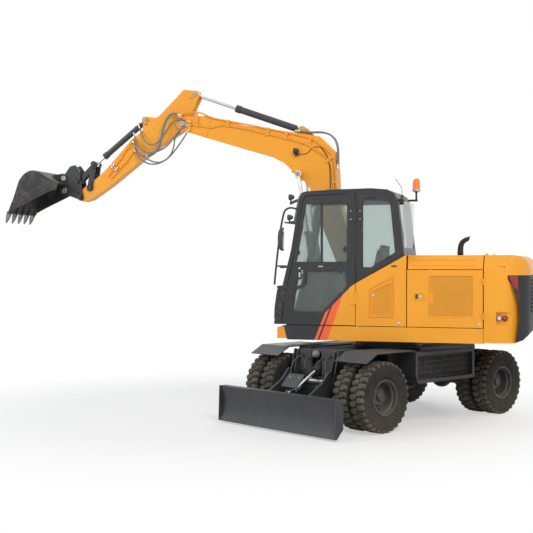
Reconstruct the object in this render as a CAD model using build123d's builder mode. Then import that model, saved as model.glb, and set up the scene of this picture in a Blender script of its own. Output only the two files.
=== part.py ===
# Wheeled excavator with twin tyres, dozer blade, slewing upper structure, cab and bucket.
# Upper frame: +X along the boom, +Y to its left, +Z up, millimetres, slewing axis at x = 0, y = 0.
# The undercarriage is drawn in its own frame, +X to the blade, and turned about the slewing axis.
import os

from build123d import *

os.makedirs("parts", exist_ok=True)

# How the machine stands
UNDERCARRIAGE_TURN = 60.0      # undercarriage forward, seen from above, from the boom's direction
CENTRE_X = 1910.0              # middle of the whole machine, from the slewing axis
CENTRE_Y = 217.6
PIN_GAP = 0.3                  # running gap between a pin or face and what it turns in
MOVE_GAP = 8.0                 # gap between panels that move and what is beside them

# Tyres and wheels
TYRE_R = 432.5
TYRE_W = 235.0
TYRE_TREAD_W = 196.0
LUG_H = 16.0
LUG_L = 62.0
LUG_W = 84.0
LUG_ROW_Y = 50.0               # middle of each row of lugs, from the tyre's middle
LUG_COUNT = 20
RIM_R = 203.0
RIM_FLANGE_R = 222.0
RIM_SEAT_HALF_W = 83.0
RIM_T = 14.0
TRACK_OUTER_Y = 1050.0         # outer face of the outer tyre
TWIN_PITCH = 276.0
FRONT_AXLE_X = 1220.0
REAR_AXLE_X = -1180.0
AXLE_Z = TYRE_R
OUTER_TYRE_Y = TRACK_OUTER_Y - TYRE_W / 2
INNER_TYRE_Y = OUTER_TYRE_Y - TWIN_PITCH
TWIN_Y = (OUTER_TYRE_Y + INNER_TYRE_Y) / 2
HUB_R = 105.0
KINGPIN_Y = 450.0
KINGPIN_R = 38.0
AXLE_TUBE_R = 78.0
AXLE_HEAD_R = 150.0
HUB_INNER_Y = 560.0
HUB_OUTER_Y = TWIN_Y - 16.0 - PIN_GAP
FRONT_PAD_Z = 610.0
REAR_PAD_Z = 600.0
STEERING_X = 1370.0
STEERING_Z = 562.0
GEARBOX_X = -60.0
GEARBOX_Z = 430.0

# Chassis
CHASSIS_HALF_W = 300.0
CHASSIS_PLATE = 16.0
CHASSIS_TOP_Z = 950.0
CHASSIS_FRONT_X = 1350.0
CHASSIS_REAR_X = -1560.0
TIE_DOWN_Y = 230.0             # eyes at the chassis' rear for lashing the machine down
TIE_DOWN_Z = 745.0
TIE_DOWN_R = 25.0
TIE_DOWN_T = 25.0
RING_R = 440.0
RING_TOP_Z = 1064.7
BOX_FRONT_X = 644.0            # side boxes between the wheels
BOX_REAR_X = -562.0
BOX_LOW_Z = 548.0
BOX_TOP_Z = 937.0
BOX_OUTER_Y = 1020.0
BOX_INNER_Y = 560.0
FENDER_T = 8.0
FENDER_TOP_Z = 968.0
FENDER_FRONT_X = 1560.0
FENDER_BEND_X = 1360.0
FENDER_LOW_Z = 862.0
FENDER_INNER_Y = 500.0

# Dozer blade
BLADE_HALF_W = 1040.0
BLADE_FRONT_X = 2106.0
BLADE_DEPTH = 137.0
BLADE_LOW_Z = 25.0
BLADE_TOP_Z = 473.0
BLADE_T = 14.0
BLADE_HINGE_X = 1420.0
BLADE_HINGE_Z = 455.0
BLADE_ARM_Y = 355.0
BLADE_ARM_T = 30.0
BLADE_BOSS = 8.0               # how far the hinge boss stands out of each arm plate
BLADE_CYL_BASE = (1080.0, 868.0)
BLADE_CYL_EYE = (1800.0, 440.0)
CYL_EYE_HALF_W = 28.0
CYL_NECK = 95.0                # from a cylinder's base pin to the start of its tube

# Upper structure
SIDE_Y = 1030.0
UPPER_LOW_Z = 1065.0
DECK_Z = 1249.0
UPPER_REAR_X = -1380.0
TAIL_X = -1950.0
TAIL_R = 320.0
FRAME_FRONT_X = 1120.0
SKIRT_T = 30.0
HOOD_Z = 2147.0
HOOD_EDGE_Z = 1964.0
HOOD_FRONT_X = -441.0
DOOR_T = 45.0
HINGE_R = 12.0
HINGE_OUT = 13.0               # pin line of an outside hinge, from the panel's face
HINGE_H = 40.0
HINGE_LEAF = 44.0

# Cab
CAB_RIGHT_Y = 110.0
CAB_WALL = 45.0
CAB_LEFT_WALL = 65.0
CAB_FLOOR_Z = 1262.0
CAB_DOOR_REAR_X = 216.0
GLASS_T = 6.0

# Boom, arm and bucket plane
BOOM_Y = -150.0
BOOM_HALF_W = 120.0
BOOM_PLATE = 12.0
BOOM_FOOT = (350.0, 1450.0)
BOOM_TIP = (3009.0, 4066.0)
BOOM_BOSS = (1244.0, 3285.0)
BOOM_CYL_BASE = (900.0, 1180.0)
BOOM_CYL_OFFSET = 180.0
ARM_CYL_BASE = (1235.0, 3907.0)
ARM_PIN = (2823.0, 4486.0)
ARM_HALF_W = 110.0
ARM_PLATE = 10.0
BUCKET_CYL_BASE = (3620.0, 4150.0)
ROCKER_PIN = (4497.0, 3173.0)
BUCKET_PIN = (4658.0, 3041.0)
ROCKER_TOP = (4440.0, 3525.0)
COUPLER_PIN = (4701.0, 3275.0)
PIN_R = 28.0
ARM_END_HALF_W = 75.0
EAR_T = 20.0
PUSH_OUTER = 58.0             # outer face of the push link's fork
BUCKET_HALF_W = 385.0
BUCKET_PLATE = 12.0
TOOTH_COUNT = 5


def side_plane(y):
    """Plane with x forward and z up, at a distance y; a solid extruded from it grows towards -Y."""
    return Plane.XZ.offset(-y)


def finish(piece, name, turn=0.0):
    """Puts a sub-part in the frame of the whole machine and writes it."""
    piece.part = Pos(-CENTRE_X, -CENTRE_Y, 0) * Rot(0, 0, turn) * piece.part
    piece.part.label = name
    export_step(piece.part, f"parts/{name}.step")


def finish_lower(piece, name):
    """Writes a sub-part that is drawn in the undercarriage's own frame."""
    finish(piece, name, UNDERCARRIAGE_TURN)


def point_between(start, end, distance):
    """Point at a distance from start on the way to end."""
    way = Vector(*end) - Vector(*start)
    spot = Vector(*start) + way.normalized() * distance
    return (spot.X, spot.Y)


def length_between(start, end):
    """Distance between two points of a side view."""
    return (Vector(*end) - Vector(*start)).length


def along(start, end, y, distance=0.0):
    """Plane across the line from start to end in a side view, with its normal along that line."""
    way = (Vector(*end) - Vector(*start)).normalized()
    spot = Vector(*start) + way * distance
    return Plane(origin=(spot.X, y, spot.Y), x_dir=(0, 1, 0), z_dir=(way.X, 0, way.Y))


def hinge_half(x, y, z, leaf, height):
    """Half of a door hinge in the part that is open: a knuckle on an upright pin line and its leaf."""
    with Locations((x, y, z + height / 2)):
        Cylinder(HINGE_R, abs(height))
    side = 1 if y > 0 else -1
    with Locations((x + leaf / 2, y - side * (HINGE_OUT - 3), z + height / 2)):
        Box(abs(leaf), 6, abs(height))


# Wheels: two tyres on two deep rims, bolted to one hub, drawn about the axle and set out by a loop
TYRE_PROFILE = [
    # radius, half width
    (RIM_R + PIN_GAP, RIM_SEAT_HALF_W - PIN_GAP),
    (RIM_FLANGE_R + PIN_GAP, RIM_SEAT_HALF_W - PIN_GAP),
    (RIM_FLANGE_R + 18, RIM_SEAT_HALF_W + 22),
    (318.0, TYRE_W / 2),
    (392.0, 109.0),
    (TYRE_R - LUG_H, TYRE_TREAD_W / 2),
]
RIM_PROFILE = [
    # radius, half width of the rim's outer skin
    (RIM_FLANGE_R, RIM_SEAT_HALF_W + RIM_T),
    (RIM_FLANGE_R, RIM_SEAT_HALF_W),
    (RIM_R, RIM_SEAT_HALF_W),
    (RIM_R, 60.0),
    (RIM_R - 14, 40.0),
]
WHEELS = [
    # name, side with +1 left and -1 right, distance of the axle ahead of the slewing axis
    ("front_left", 1, FRONT_AXLE_X),
    ("front_right", -1, FRONT_AXLE_X),
    ("rear_left", 1, REAR_AXLE_X),
    ("rear_right", -1, REAR_AXLE_X),
]
LUG_REACH = (TYRE_R**2 - (LUG_L / 2) ** 2) ** 0.5
DISC_DEPTH = TWIN_PITCH / 2 - 40.0

with BuildPart() as tyre_pair:
    for tyre_y in (-TWIN_PITCH / 2, TWIN_PITCH / 2):
        with BuildSketch(Plane.XY):
            with Locations((0, tyre_y)):
                Polygon(
                    *[(r, -w) for r, w in TYRE_PROFILE],
                    *[(r, w) for r, w in reversed(TYRE_PROFILE)],
                    align=None,
                )
        revolve(axis=Axis.Y, revolution_arc=360)
        for edge in (1, -1):
            with BuildSketch(Plane.XZ.offset(-(tyre_y + edge * LUG_ROW_Y + LUG_W / 2))):
                with PolarLocations(LUG_REACH - LUG_H / 2 - 4, LUG_COUNT, start_angle=edge * 90 / LUG_COUNT):
                    Rectangle(LUG_H + 8, LUG_L)
            extrude(amount=LUG_W)

with BuildPart() as rim_pair:
    for rim_y in (-TWIN_PITCH / 2, TWIN_PITCH / 2):
        with BuildSketch(Plane.XY):
            with Locations((0, rim_y)):
                Polygon(
                    *[(r, -w) for r, w in RIM_PROFILE],
                    *[(r, w) for r, w in reversed(RIM_PROFILE)],
                    *[(r - RIM_T, w) for r, w in RIM_PROFILE],
                    *[(r - RIM_T, -w) for r, w in reversed(RIM_PROFILE)],
                    align=None,
                )
        revolve(axis=Axis.Y, revolution_arc=360)
    with BuildSketch(side_plane(DISC_DEPTH)):
        Circle(RIM_R - RIM_T - 8)
    extrude(amount=2 * DISC_DEPTH)
    with BuildSketch(side_plane(-16.0)):
        Circle(HUB_R + 20)
    extrude(amount=DISC_DEPTH - 16.0, mode=Mode.SUBTRACT)
    with BuildSketch(Plane.XZ.offset(-(DISC_DEPTH - 4.0)).rotated((180, 0, 0))):
        Circle(HUB_R)
    extrude(amount=34.0, taper=12)

for wheel_name, side, axle_x in WHEELS:
    place = Pos(axle_x, side * TWIN_Y, AXLE_Z) * Rot(0, 0, 0 if side > 0 else 180)
    with BuildPart() as tyres:
        add(place * tyre_pair.part)
    finish_lower(tyres, f"tyres_{wheel_name}")
    with BuildPart() as rims:
        add(place * rim_pair.part)
    finish_lower(rims, f"rims_{wheel_name}")

# Chassis: a deep box frame, open below, with a round pedestal and plates for the blade
CHASSIS_SIDE = [
    (CHASSIS_REAR_X, REAR_PAD_Z),
    (CHASSIS_REAR_X, 880),
    (CHASSIS_REAR_X + 120, CHASSIS_TOP_Z),
    (CHASSIS_FRONT_X, CHASSIS_TOP_Z),
    (CHASSIS_FRONT_X, 610),
    (820, 610),
    (760, 480),
    (-720, 480),
    (-780, REAR_PAD_Z),
]
with BuildPart() as chassis:
    with BuildSketch(side_plane(CHASSIS_HALF_W)):
        Polygon(*CHASSIS_SIDE, align=None)
    extrude(amount=2 * CHASSIS_HALF_W)
    inner_half_w = CHASSIS_HALF_W - CHASSIS_PLATE
    with BuildSketch(side_plane(inner_half_w)):
        Polygon(
            (CHASSIS_REAR_X + CHASSIS_PLATE, 400),
            (CHASSIS_REAR_X + CHASSIS_PLATE, 875),
            (CHASSIS_REAR_X + 125, CHASSIS_TOP_Z - CHASSIS_PLATE),
            (CHASSIS_FRONT_X - CHASSIS_PLATE, CHASSIS_TOP_Z - CHASSIS_PLATE),
            (CHASSIS_FRONT_X - CHASSIS_PLATE, 400),
            align=None,
        )
    extrude(amount=2 * inner_half_w, mode=Mode.SUBTRACT)
    for hanger_x, pad_z in ((FRONT_AXLE_X, FRONT_PAD_Z), (REAR_AXLE_X, REAR_PAD_Z)):
        with BuildSketch(Plane.XY.offset(pad_z)):
            with Locations((hanger_x, 0)):
                Rectangle(120, 2 * inner_half_w)
        extrude(amount=CHASSIS_TOP_Z - CHASSIS_PLATE - pad_z)
    with Locations((FRONT_AXLE_X, 0, 760)):
        Box(400, 150, 330, mode=Mode.SUBTRACT)
    with BuildSketch(Plane.XY.offset(CHASSIS_TOP_Z - CHASSIS_PLATE)):
        Circle(RING_R + 25)
    extrude(amount=CHASSIS_PLATE + 6)
    for arm_side in (-1, 1):
        for plate_side in (-1, 1):
            plate_y = arm_side * BLADE_ARM_Y + plate_side * (BLADE_ARM_T / 2 + BLADE_BOSS + PIN_GAP + 8)
            with BuildSketch(side_plane(plate_y + 8)):
                Polygon(
                    (CHASSIS_FRONT_X - CHASSIS_PLATE, CHASSIS_TOP_Z),
                    (CHASSIS_FRONT_X + 20, CHASSIS_TOP_Z),
                    (BLADE_HINGE_X + 55, BLADE_HINGE_Z + 60),
                    (BLADE_HINGE_X + 55, BLADE_HINGE_Z - 55),
                    (BLADE_HINGE_X - 50, BLADE_HINGE_Z - 55),
                    (CHASSIS_FRONT_X - CHASSIS_PLATE, 620),
                    align=None,
                )
            extrude(amount=16)
        with BuildSketch(Plane.YZ.offset(CHASSIS_FRONT_X - CHASSIS_PLATE)):
            with Locations((arm_side * 340, 790)):
                Rectangle(90, 300)
        extrude(amount=CHASSIS_PLATE)
        with BuildSketch(side_plane(arm_side * BLADE_ARM_Y + BLADE_ARM_T / 2 + 24)):
            with Locations((BLADE_HINGE_X, BLADE_HINGE_Z)):
                Circle(PIN_R)
        extrude(amount=BLADE_ARM_T + 48)
    for lug_side in (-1, 1):
        with BuildSketch(side_plane(lug_side * (CYL_EYE_HALF_W + PIN_GAP + 8) + 8)):
            Polygon(
                (BLADE_CYL_BASE[0] - 70, CHASSIS_TOP_Z - CHASSIS_PLATE / 2),
                (BLADE_CYL_BASE[0] - 40, BLADE_CYL_BASE[1] - 45),
                (BLADE_CYL_BASE[0] + 40, BLADE_CYL_BASE[1] - 45),
                (BLADE_CYL_BASE[0] + 70, CHASSIS_TOP_Z - CHASSIS_PLATE / 2),
                align=None,
            )
        extrude(amount=16)
    with BuildSketch(side_plane(CYL_EYE_HALF_W + 20)):
        with Locations(BLADE_CYL_BASE):
            Circle(PIN_R)
    extrude(amount=2 * CYL_EYE_HALF_W + 40)
    with BuildSketch(Plane.YZ.offset(CHASSIS_FRONT_X - 2 * CHASSIS_PLATE)):
        with Locations((0, 715)):
            Rectangle(170, 240)
    extrude(amount=3 * CHASSIS_PLATE, mode=Mode.SUBTRACT)
    for eye_side in (-1, 1):
        with BuildSketch(side_plane(eye_side * TIE_DOWN_Y + TIE_DOWN_T / 2)):
            with Locations((CHASSIS_REAR_X - 60, TIE_DOWN_Z)):
                Circle(55)
            with Locations((CHASSIS_REAR_X - 26, TIE_DOWN_Z)):
                Rectangle(68, 110)
            with Locations((CHASSIS_REAR_X - 60, TIE_DOWN_Z)):
                Circle(TIE_DOWN_R, mode=Mode.SUBTRACT)
        extrude(amount=TIE_DOWN_T)
finish_lower(chassis, "chassis")

with BuildPart() as slewing_ring:
    with BuildSketch(Plane.XY.offset(CHASSIS_TOP_Z + 6)):
        Circle(RING_R)
        Circle(RING_R - 110, mode=Mode.SUBTRACT)
    extrude(amount=RING_TOP_Z - CHASSIS_TOP_Z - 6)
finish_lower(slewing_ring, "slewing_ring")

# Axles: a tube with a drive head in its middle; the front one ends in forks for the kingpins
FORK_GAP = 2 * 88.0
with BuildPart() as front_axle:
    with BuildSketch(Plane.XZ.offset(-(KINGPIN_Y - 70))):
        with Locations((FRONT_AXLE_X, AXLE_Z)):
            Circle(AXLE_TUBE_R)
    extrude(amount=2 * (KINGPIN_Y - 70))
    with Locations((FRONT_AXLE_X, 0, AXLE_Z)):
        Sphere(AXLE_HEAD_R)
    with BuildSketch(Plane.XY.offset(AXLE_Z)):
        with Locations((FRONT_AXLE_X, 0)):
            Rectangle(120, 380)
    extrude(amount=FRONT_PAD_Z - AXLE_Z - PIN_GAP)
    for fork_side in (-1, 1):
        with Locations((FRONT_AXLE_X, fork_side * (KINGPIN_Y - 45), AXLE_Z)):
            Box(96, 130, FORK_GAP + 60)
        with Locations((FRONT_AXLE_X, fork_side * (KINGPIN_Y + 20), AXLE_Z)):
            Box(140, 140, FORK_GAP, mode=Mode.SUBTRACT)
        with Locations((FRONT_AXLE_X, fork_side * KINGPIN_Y, AXLE_Z)):
            Cylinder(48, FORK_GAP + 60)
            Cylinder(90, FORK_GAP, mode=Mode.SUBTRACT)
            Cylinder(KINGPIN_R, FORK_GAP + 80)
finish_lower(front_axle, "front_axle")

with BuildPart() as rear_axle:
    with BuildSketch(Plane.XZ.offset(-(INNER_TYRE_Y + 45))):
        with Locations((REAR_AXLE_X, AXLE_Z)):
            Circle(AXLE_TUBE_R)
    extrude(amount=2 * (INNER_TYRE_Y + 45))
    with Locations((REAR_AXLE_X, 0, AXLE_Z)):
        Sphere(AXLE_HEAD_R)
    for pad_y in (-220, 220):
        with BuildSketch(Plane.XY.offset(AXLE_Z)):
            with Locations((REAR_AXLE_X, pad_y)):
                Rectangle(130, 90)
        extrude(amount=REAR_PAD_Z - AXLE_Z - PIN_GAP)
    for hub_side in (-1, 1):
        with Locations((REAR_AXLE_X, hub_side * (HUB_INNER_Y + HUB_OUTER_Y) / 2, AXLE_Z)):
            Cylinder(HUB_R + 14, HUB_OUTER_Y - HUB_INNER_Y, rotation=(90, 0, 0))
finish_lower(rear_axle, "rear_axle")

# Steering knuckles: a drum on a block that turns about the kingpin, with a short lever
for knuckle_name, side in (("left", 1), ("right", -1)):
    with BuildPart() as knuckle:
        with Locations((FRONT_AXLE_X, side * KINGPIN_Y, AXLE_Z)):
            Cylinder(46, FORK_GAP - 2 * PIN_GAP)
        with Locations((FRONT_AXLE_X, side * (KINGPIN_Y + 40), AXLE_Z)):
            Box(80, 70, FORK_GAP - 30)
        with Locations((FRONT_AXLE_X - 95, side * (KINGPIN_Y - 5), AXLE_Z)):
            Box(150, 50, 36)
        drum_inner = KINGPIN_Y + 62
        with Locations((FRONT_AXLE_X, side * (drum_inner + HUB_OUTER_Y) / 2, AXLE_Z)):
            Cylinder(HUB_R + 14, HUB_OUTER_Y - drum_inner, rotation=(90, 0, 0))
        with Locations((FRONT_AXLE_X, side * KINGPIN_Y, AXLE_Z)):
            Cylinder(KINGPIN_R + PIN_GAP, FORK_GAP, mode=Mode.SUBTRACT)
    finish_lower(knuckle, f"knuckle_{knuckle_name}")

# Steering cylinder, right across in front of the front axle
with BuildPart() as steering_cylinder:
    for rod_r, rod_half_w in ((30.0, 170.0), (14.0, 300.0)):
        with BuildSketch(Plane.XZ.offset(-rod_half_w)):
            with Locations((STEERING_X, STEERING_Z)):
                Circle(rod_r)
        extrude(amount=2 * rod_half_w)
    for bracket_y in (-130, 130):
        with Locations(((FRONT_AXLE_X + 60 + PIN_GAP + STEERING_X) / 2, bracket_y, STEERING_Z)):
            Box(STEERING_X - FRONT_AXLE_X - 60 - PIN_GAP, 40, 50)
finish_lower(steering_cylinder, "steering_cylinder")

# Gearbox under the chassis and the shafts to both axles
with BuildPart() as drive_line:
    with Locations((GEARBOX_X, 0, GEARBOX_Z)):
        Box(340, 260, 300)
    fillet(drive_line.edges().filter_by(Axis.Y), radius=60)
    for shaft_start, shaft_end in (
        (GEARBOX_X + 120, FRONT_AXLE_X - AXLE_HEAD_R - PIN_GAP),
        (GEARBOX_X - 120, REAR_AXLE_X + AXLE_HEAD_R + PIN_GAP),
    ):
        middle_x = (shaft_start + shaft_end) / 2
        with Locations((middle_x, 0, AXLE_Z)):
            Cylinder(32, abs(shaft_end - shaft_start), rotation=(0, 90, 0))
    with Locations((GEARBOX_X, 0, GEARBOX_Z + 150)):
        Box(200, 2 * inner_half_w, 40)
finish_lower(drive_line, "drive_line")

# Front fenders: bent plates on the chassis, above the steered wheels
with BuildPart() as front_fenders:
    for side in (-1, 1):
        with BuildSketch(side_plane(max(side * FENDER_INNER_Y, side * BOX_OUTER_Y))):
            Polygon(
                (BOX_FRONT_X + PIN_GAP, FENDER_TOP_Z),
                (FENDER_BEND_X, FENDER_TOP_Z),
                (FENDER_FRONT_X, FENDER_LOW_Z),
                (FENDER_FRONT_X - FENDER_T, FENDER_LOW_Z - FENDER_T),
                (FENDER_BEND_X - FENDER_T / 2, FENDER_TOP_Z - FENDER_T - 4),
                (BOX_FRONT_X + PIN_GAP, FENDER_TOP_Z - FENDER_T),
                align=None,
            )
        extrude(amount=BOX_OUTER_Y - FENDER_INNER_Y)
        arm_middle_y = (CHASSIS_HALF_W + FENDER_INNER_Y) / 2
        with Locations((FRONT_AXLE_X - 120, side * (arm_middle_y + 20 + PIN_GAP / 2), FENDER_TOP_Z - 34)):
            Box(80, FENDER_INNER_Y - CHASSIS_HALF_W + 40 - PIN_GAP, 52)
finish_lower(front_fenders, "front_fenders")

# Side boxes between the wheels: an open-fronted frame with treads, and a box behind it
with BuildPart() as side_boxes:
    for side in (-1, 1):
        box_x = (BOX_FRONT_X + BOX_REAR_X) / 2
        box_z = (BOX_LOW_Z + BOX_TOP_Z) / 2
        box_y = (BOX_INNER_Y + BOX_OUTER_Y) / 2
        with Locations((box_x, side * box_y, box_z)):
            Box(BOX_FRONT_X - BOX_REAR_X, BOX_OUTER_Y - BOX_INNER_Y, BOX_TOP_Z - BOX_LOW_Z)
        with Locations((box_x, side * (BOX_OUTER_Y - 60), box_z)):
            Box(
                BOX_FRONT_X - BOX_REAR_X - 90,
                180,
                BOX_TOP_Z - BOX_LOW_Z - 90,
                mode=Mode.SUBTRACT,
            )
        with BuildSketch(side_plane(side * box_y + (BOX_OUTER_Y - BOX_INNER_Y) / 2 + 1)):
            Polygon(
                (BOX_FRONT_X + 1, BOX_LOW_Z + 112),
                (BOX_FRONT_X - 50, BOX_LOW_Z - 1),
                (BOX_FRONT_X + 1, BOX_LOW_Z - 1),
                align=None,
            )
        extrude(amount=BOX_OUTER_Y - BOX_INNER_Y + 2, mode=Mode.SUBTRACT)
        bracket_w = BOX_INNER_Y - CHASSIS_HALF_W - PIN_GAP
        for bracket_x in (BOX_REAR_X + 120, BOX_FRONT_X - 200):
            with Locations((bracket_x, side * (CHASSIS_HALF_W + PIN_GAP + bracket_w / 2), box_z + 60)):
                Box(90, bracket_w, 110)
finish_lower(side_boxes, "side_boxes")

# Dozer blade: a curved mouldboard between end plates, a cutting edge, and two arms to the chassis
BLADE_REAR_X = BLADE_FRONT_X - BLADE_DEPTH
BLADE_ARM_SIDE = [
    (BLADE_HINGE_X - 50, BLADE_HINGE_Z - 10),
    (BLADE_HINGE_X - 30, BLADE_HINGE_Z + 60),
    (1465, 700),
    (1505, 715),
    (1640, 570),
    (1840, 455),
    (2046, 400),
    (2052, 120),
    (1900, 150),
    (1600, 330),
    (BLADE_HINGE_X + 20, BLADE_HINGE_Z - 50),
]
with BuildPart() as blade:
    with BuildSketch(side_plane(BLADE_HALF_W)):
        with BuildLine():
            front = ThreePointArc(
                (BLADE_FRONT_X - 18, BLADE_TOP_Z), (BLADE_FRONT_X - 70, 250), (BLADE_FRONT_X - 6, BLADE_LOW_Z)
            )
            Polyline(front @ 1, (BLADE_FRONT_X - 26, BLADE_LOW_Z))
            rear = ThreePointArc(
                (BLADE_FRONT_X - 26, BLADE_LOW_Z),
                (BLADE_FRONT_X - 70 - BLADE_T, 250),
                (BLADE_FRONT_X - 18 - BLADE_T, BLADE_TOP_Z),
            )
            Polyline(rear @ 1, front @ 0)
        make_face()
    extrude(amount=2 * BLADE_HALF_W)
    for end_y in (-BLADE_HALF_W + 16, BLADE_HALF_W):
        with BuildSketch(side_plane(end_y)):
            Polygon(
                (BLADE_REAR_X, BLADE_TOP_Z),
                (BLADE_FRONT_X - 14, BLADE_TOP_Z),
                (BLADE_FRONT_X, BLADE_LOW_Z + 10),
                (BLADE_FRONT_X - 30, BLADE_LOW_Z),
                (BLADE_REAR_X, BLADE_LOW_Z + 110),
                align=None,
            )
        extrude(amount=16)
    for beam_z, beam_h in ((BLADE_TOP_Z - 30, 60), (160, 70)):
        with BuildSketch(side_plane(BLADE_HALF_W - 8)):
            with Locations(((BLADE_REAR_X + BLADE_FRONT_X - 66) / 2, beam_z)):
                Rectangle(BLADE_FRONT_X - 66 - BLADE_REAR_X, beam_h)
        extrude(amount=2 * BLADE_HALF_W - 16)
    for arm_side in (-1, 1):
        with BuildSketch(side_plane(arm_side * BLADE_ARM_Y + BLADE_ARM_T / 2)):
            Polygon(*BLADE_ARM_SIDE, align=None)
        extrude(amount=BLADE_ARM_T)
        with BuildSketch(side_plane(arm_side * BLADE_ARM_Y + BLADE_ARM_T / 2 + BLADE_BOSS)):
            with Locations((BLADE_HINGE_X, BLADE_HINGE_Z)):
                Circle(52)
        extrude(amount=BLADE_ARM_T + 2 * BLADE_BOSS)
        with BuildSketch(side_plane(arm_side * BLADE_ARM_Y + BLADE_ARM_T / 2 + 10)):
            with Locations((BLADE_HINGE_X, BLADE_HINGE_Z)):
                Circle(PIN_R + PIN_GAP)
        extrude(amount=BLADE_ARM_T + 20, mode=Mode.SUBTRACT)
    with BuildSketch(side_plane(BLADE_ARM_Y)):
        with Locations((BLADE_CYL_EYE[0] + 60, BLADE_CYL_EYE[1] - 120)):
            Rectangle(150, 110)
    extrude(amount=2 * BLADE_ARM_Y)
    for ear_side in (-1, 1):
        ear_y = ear_side * (CYL_EYE_HALF_W + PIN_GAP + 9) + 9
        with BuildSketch(side_plane(ear_y)):
            Polygon(
                (BLADE_CYL_EYE[0] - 45, BLADE_CYL_EYE[1] - 20),
                (BLADE_CYL_EYE[0] - 30, BLADE_CYL_EYE[1] + 45),
                (BLADE_CYL_EYE[0] + 40, BLADE_CYL_EYE[1] + 40),
                (BLADE_FRONT_X - 70, 330),
                (BLADE_FRONT_X - 75, 140),
                (BLADE_CYL_EYE[0] - 10, BLADE_CYL_EYE[1] - 170),
                align=None,
            )
        extrude(amount=18)
finish_lower(blade, "blade")


def cylinder_barrel(base, eye, y, barrel_r, length, eye_half_w):
    """Barrel of a hydraulic cylinder with its base eye, gland and oil ports, as a builder."""
    with BuildPart() as barrel:
        with BuildSketch(side_plane(y + eye_half_w)):
            with Locations(base):
                Circle(46)
        extrude(amount=2 * eye_half_w)
        with BuildSketch(along(base, eye, y)):
            Circle(eye_half_w - 2)
        extrude(amount=CYL_NECK + 10)
        with BuildSketch(along(base, eye, y, CYL_NECK)):
            Circle(barrel_r)
        extrude(amount=length - CYL_NECK)
        with BuildSketch(along(base, eye, y, length - 70)):
            Circle(barrel_r + 7)
        extrude(amount=70)
        with BuildSketch(along(base, eye, y, CYL_NECK + 30)):
            Circle(barrel_r - 9)
        extrude(amount=length, mode=Mode.SUBTRACT)
        with BuildSketch(along(base, eye, y, length - 60)):
            Circle(barrel_r)
        extrude(amount=52)
        with BuildSketch(along(base, eye, y, length - 80)):
            Circle(barrel_r * 0.56 + PIN_GAP)
        extrude(amount=120, mode=Mode.SUBTRACT)
        with BuildSketch(side_plane(y + eye_half_w)):
            with Locations(base):
                Circle(PIN_R + PIN_GAP)
        extrude(amount=2 * eye_half_w, mode=Mode.SUBTRACT)
    return barrel


def cylinder_rod(base, eye, y, barrel_r, start, eye_r, eye_half_w):
    """Rod of a hydraulic cylinder, from inside its barrel to the eye, as a builder."""
    full = length_between(base, eye)
    with BuildPart() as rod:
        with BuildSketch(along(base, eye, y, start)):
            Circle(barrel_r * 0.56)
        extrude(amount=full - start)
        with BuildSketch(side_plane(y + eye_half_w)):
            with Locations(eye):
                Circle(eye_r)
        extrude(amount=2 * eye_half_w)
    return rod


BLADE_CYL_LENGTH = 350.0
blade_cylinder_barrel = cylinder_barrel(BLADE_CYL_BASE, BLADE_CYL_EYE, 0, 48, BLADE_CYL_LENGTH, CYL_EYE_HALF_W)
finish_lower(blade_cylinder_barrel, "blade_cylinder_barrel")
blade_cylinder_rod = cylinder_rod(
    BLADE_CYL_BASE, BLADE_CYL_EYE, 0, 48, BLADE_CYL_LENGTH - 125, 42, CYL_EYE_HALF_W
)
finish_lower(blade_cylinder_rod, "blade_cylinder_rod")

# Upper frame: deck plate on the ring, side rails, and the brackets of the boom and its cylinders
SLOT_Y = (BOOM_Y - 165.0, BOOM_Y + 165.0)
FOOT_EAR_Y = BOOM_HALF_W + PIN_GAP
with BuildPart() as upper_frame:
    with BuildSketch(Plane.XY.offset(UPPER_LOW_Z)):
        Polygon(
            (UPPER_REAR_X, -SIDE_Y + SKIRT_T),
            (620, -SIDE_Y + SKIRT_T),
            (760, -620),
            (FRAME_FRONT_X, -360),
            (FRAME_FRONT_X, SIDE_Y - SKIRT_T),
            (UPPER_REAR_X, SIDE_Y - SKIRT_T),
            align=None,
        )
    extrude(amount=30)
    for rail_y in (-470, 300):
        with BuildSketch(side_plane(rail_y + 12)):
            Polygon(
                (UPPER_REAR_X, UPPER_LOW_Z + 30),
                (FRAME_FRONT_X - 60, UPPER_LOW_Z + 30),
                (FRAME_FRONT_X - 60, UPPER_LOW_Z + 100),
                (700, DECK_Z - 10),
                (UPPER_REAR_X, DECK_Z - 10),
                align=None,
            )
        extrude(amount=24)
    for ear_side in (-1, 1):
        with BuildSketch(side_plane(BOOM_Y + ear_side * (FOOT_EAR_Y + 12) + 12)):
            Polygon(
                (-250, UPPER_LOW_Z + 30),
                (180, 1470),
                (290, 1550),
                (420, 1550),
                (520, 1440),
                (820, 1250),
                (895, 1236),
                (945, 1210),
                (955, 1170),
                (955, UPPER_LOW_Z + 30),
                align=None,
            )
        extrude(amount=24)
    with BuildSketch(side_plane(BOOM_Y + FOOT_EAR_Y + 30)):
        with Locations(BOOM_FOOT):
            Circle(38)
    extrude(amount=2 * (FOOT_EAR_Y + 30))
    with BuildSketch(side_plane(BOOM_Y + BOOM_CYL_OFFSET + CYL_EYE_HALF_W)):
        with Locations(BOOM_CYL_BASE):
            Circle(PIN_R)
    extrude(amount=2 * (BOOM_CYL_OFFSET + CYL_EYE_HALF_W))
finish(upper_frame, "upper_frame")

# Pivots of the left side panel, near its front edge
SERVICE_PIVOT = (CAB_DOOR_REAR_X - MOVE_GAP - 18, SIDE_Y - 10)
SERVICE_TOP_Z = 1804.0
PIVOT_R = 6.0

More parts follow.
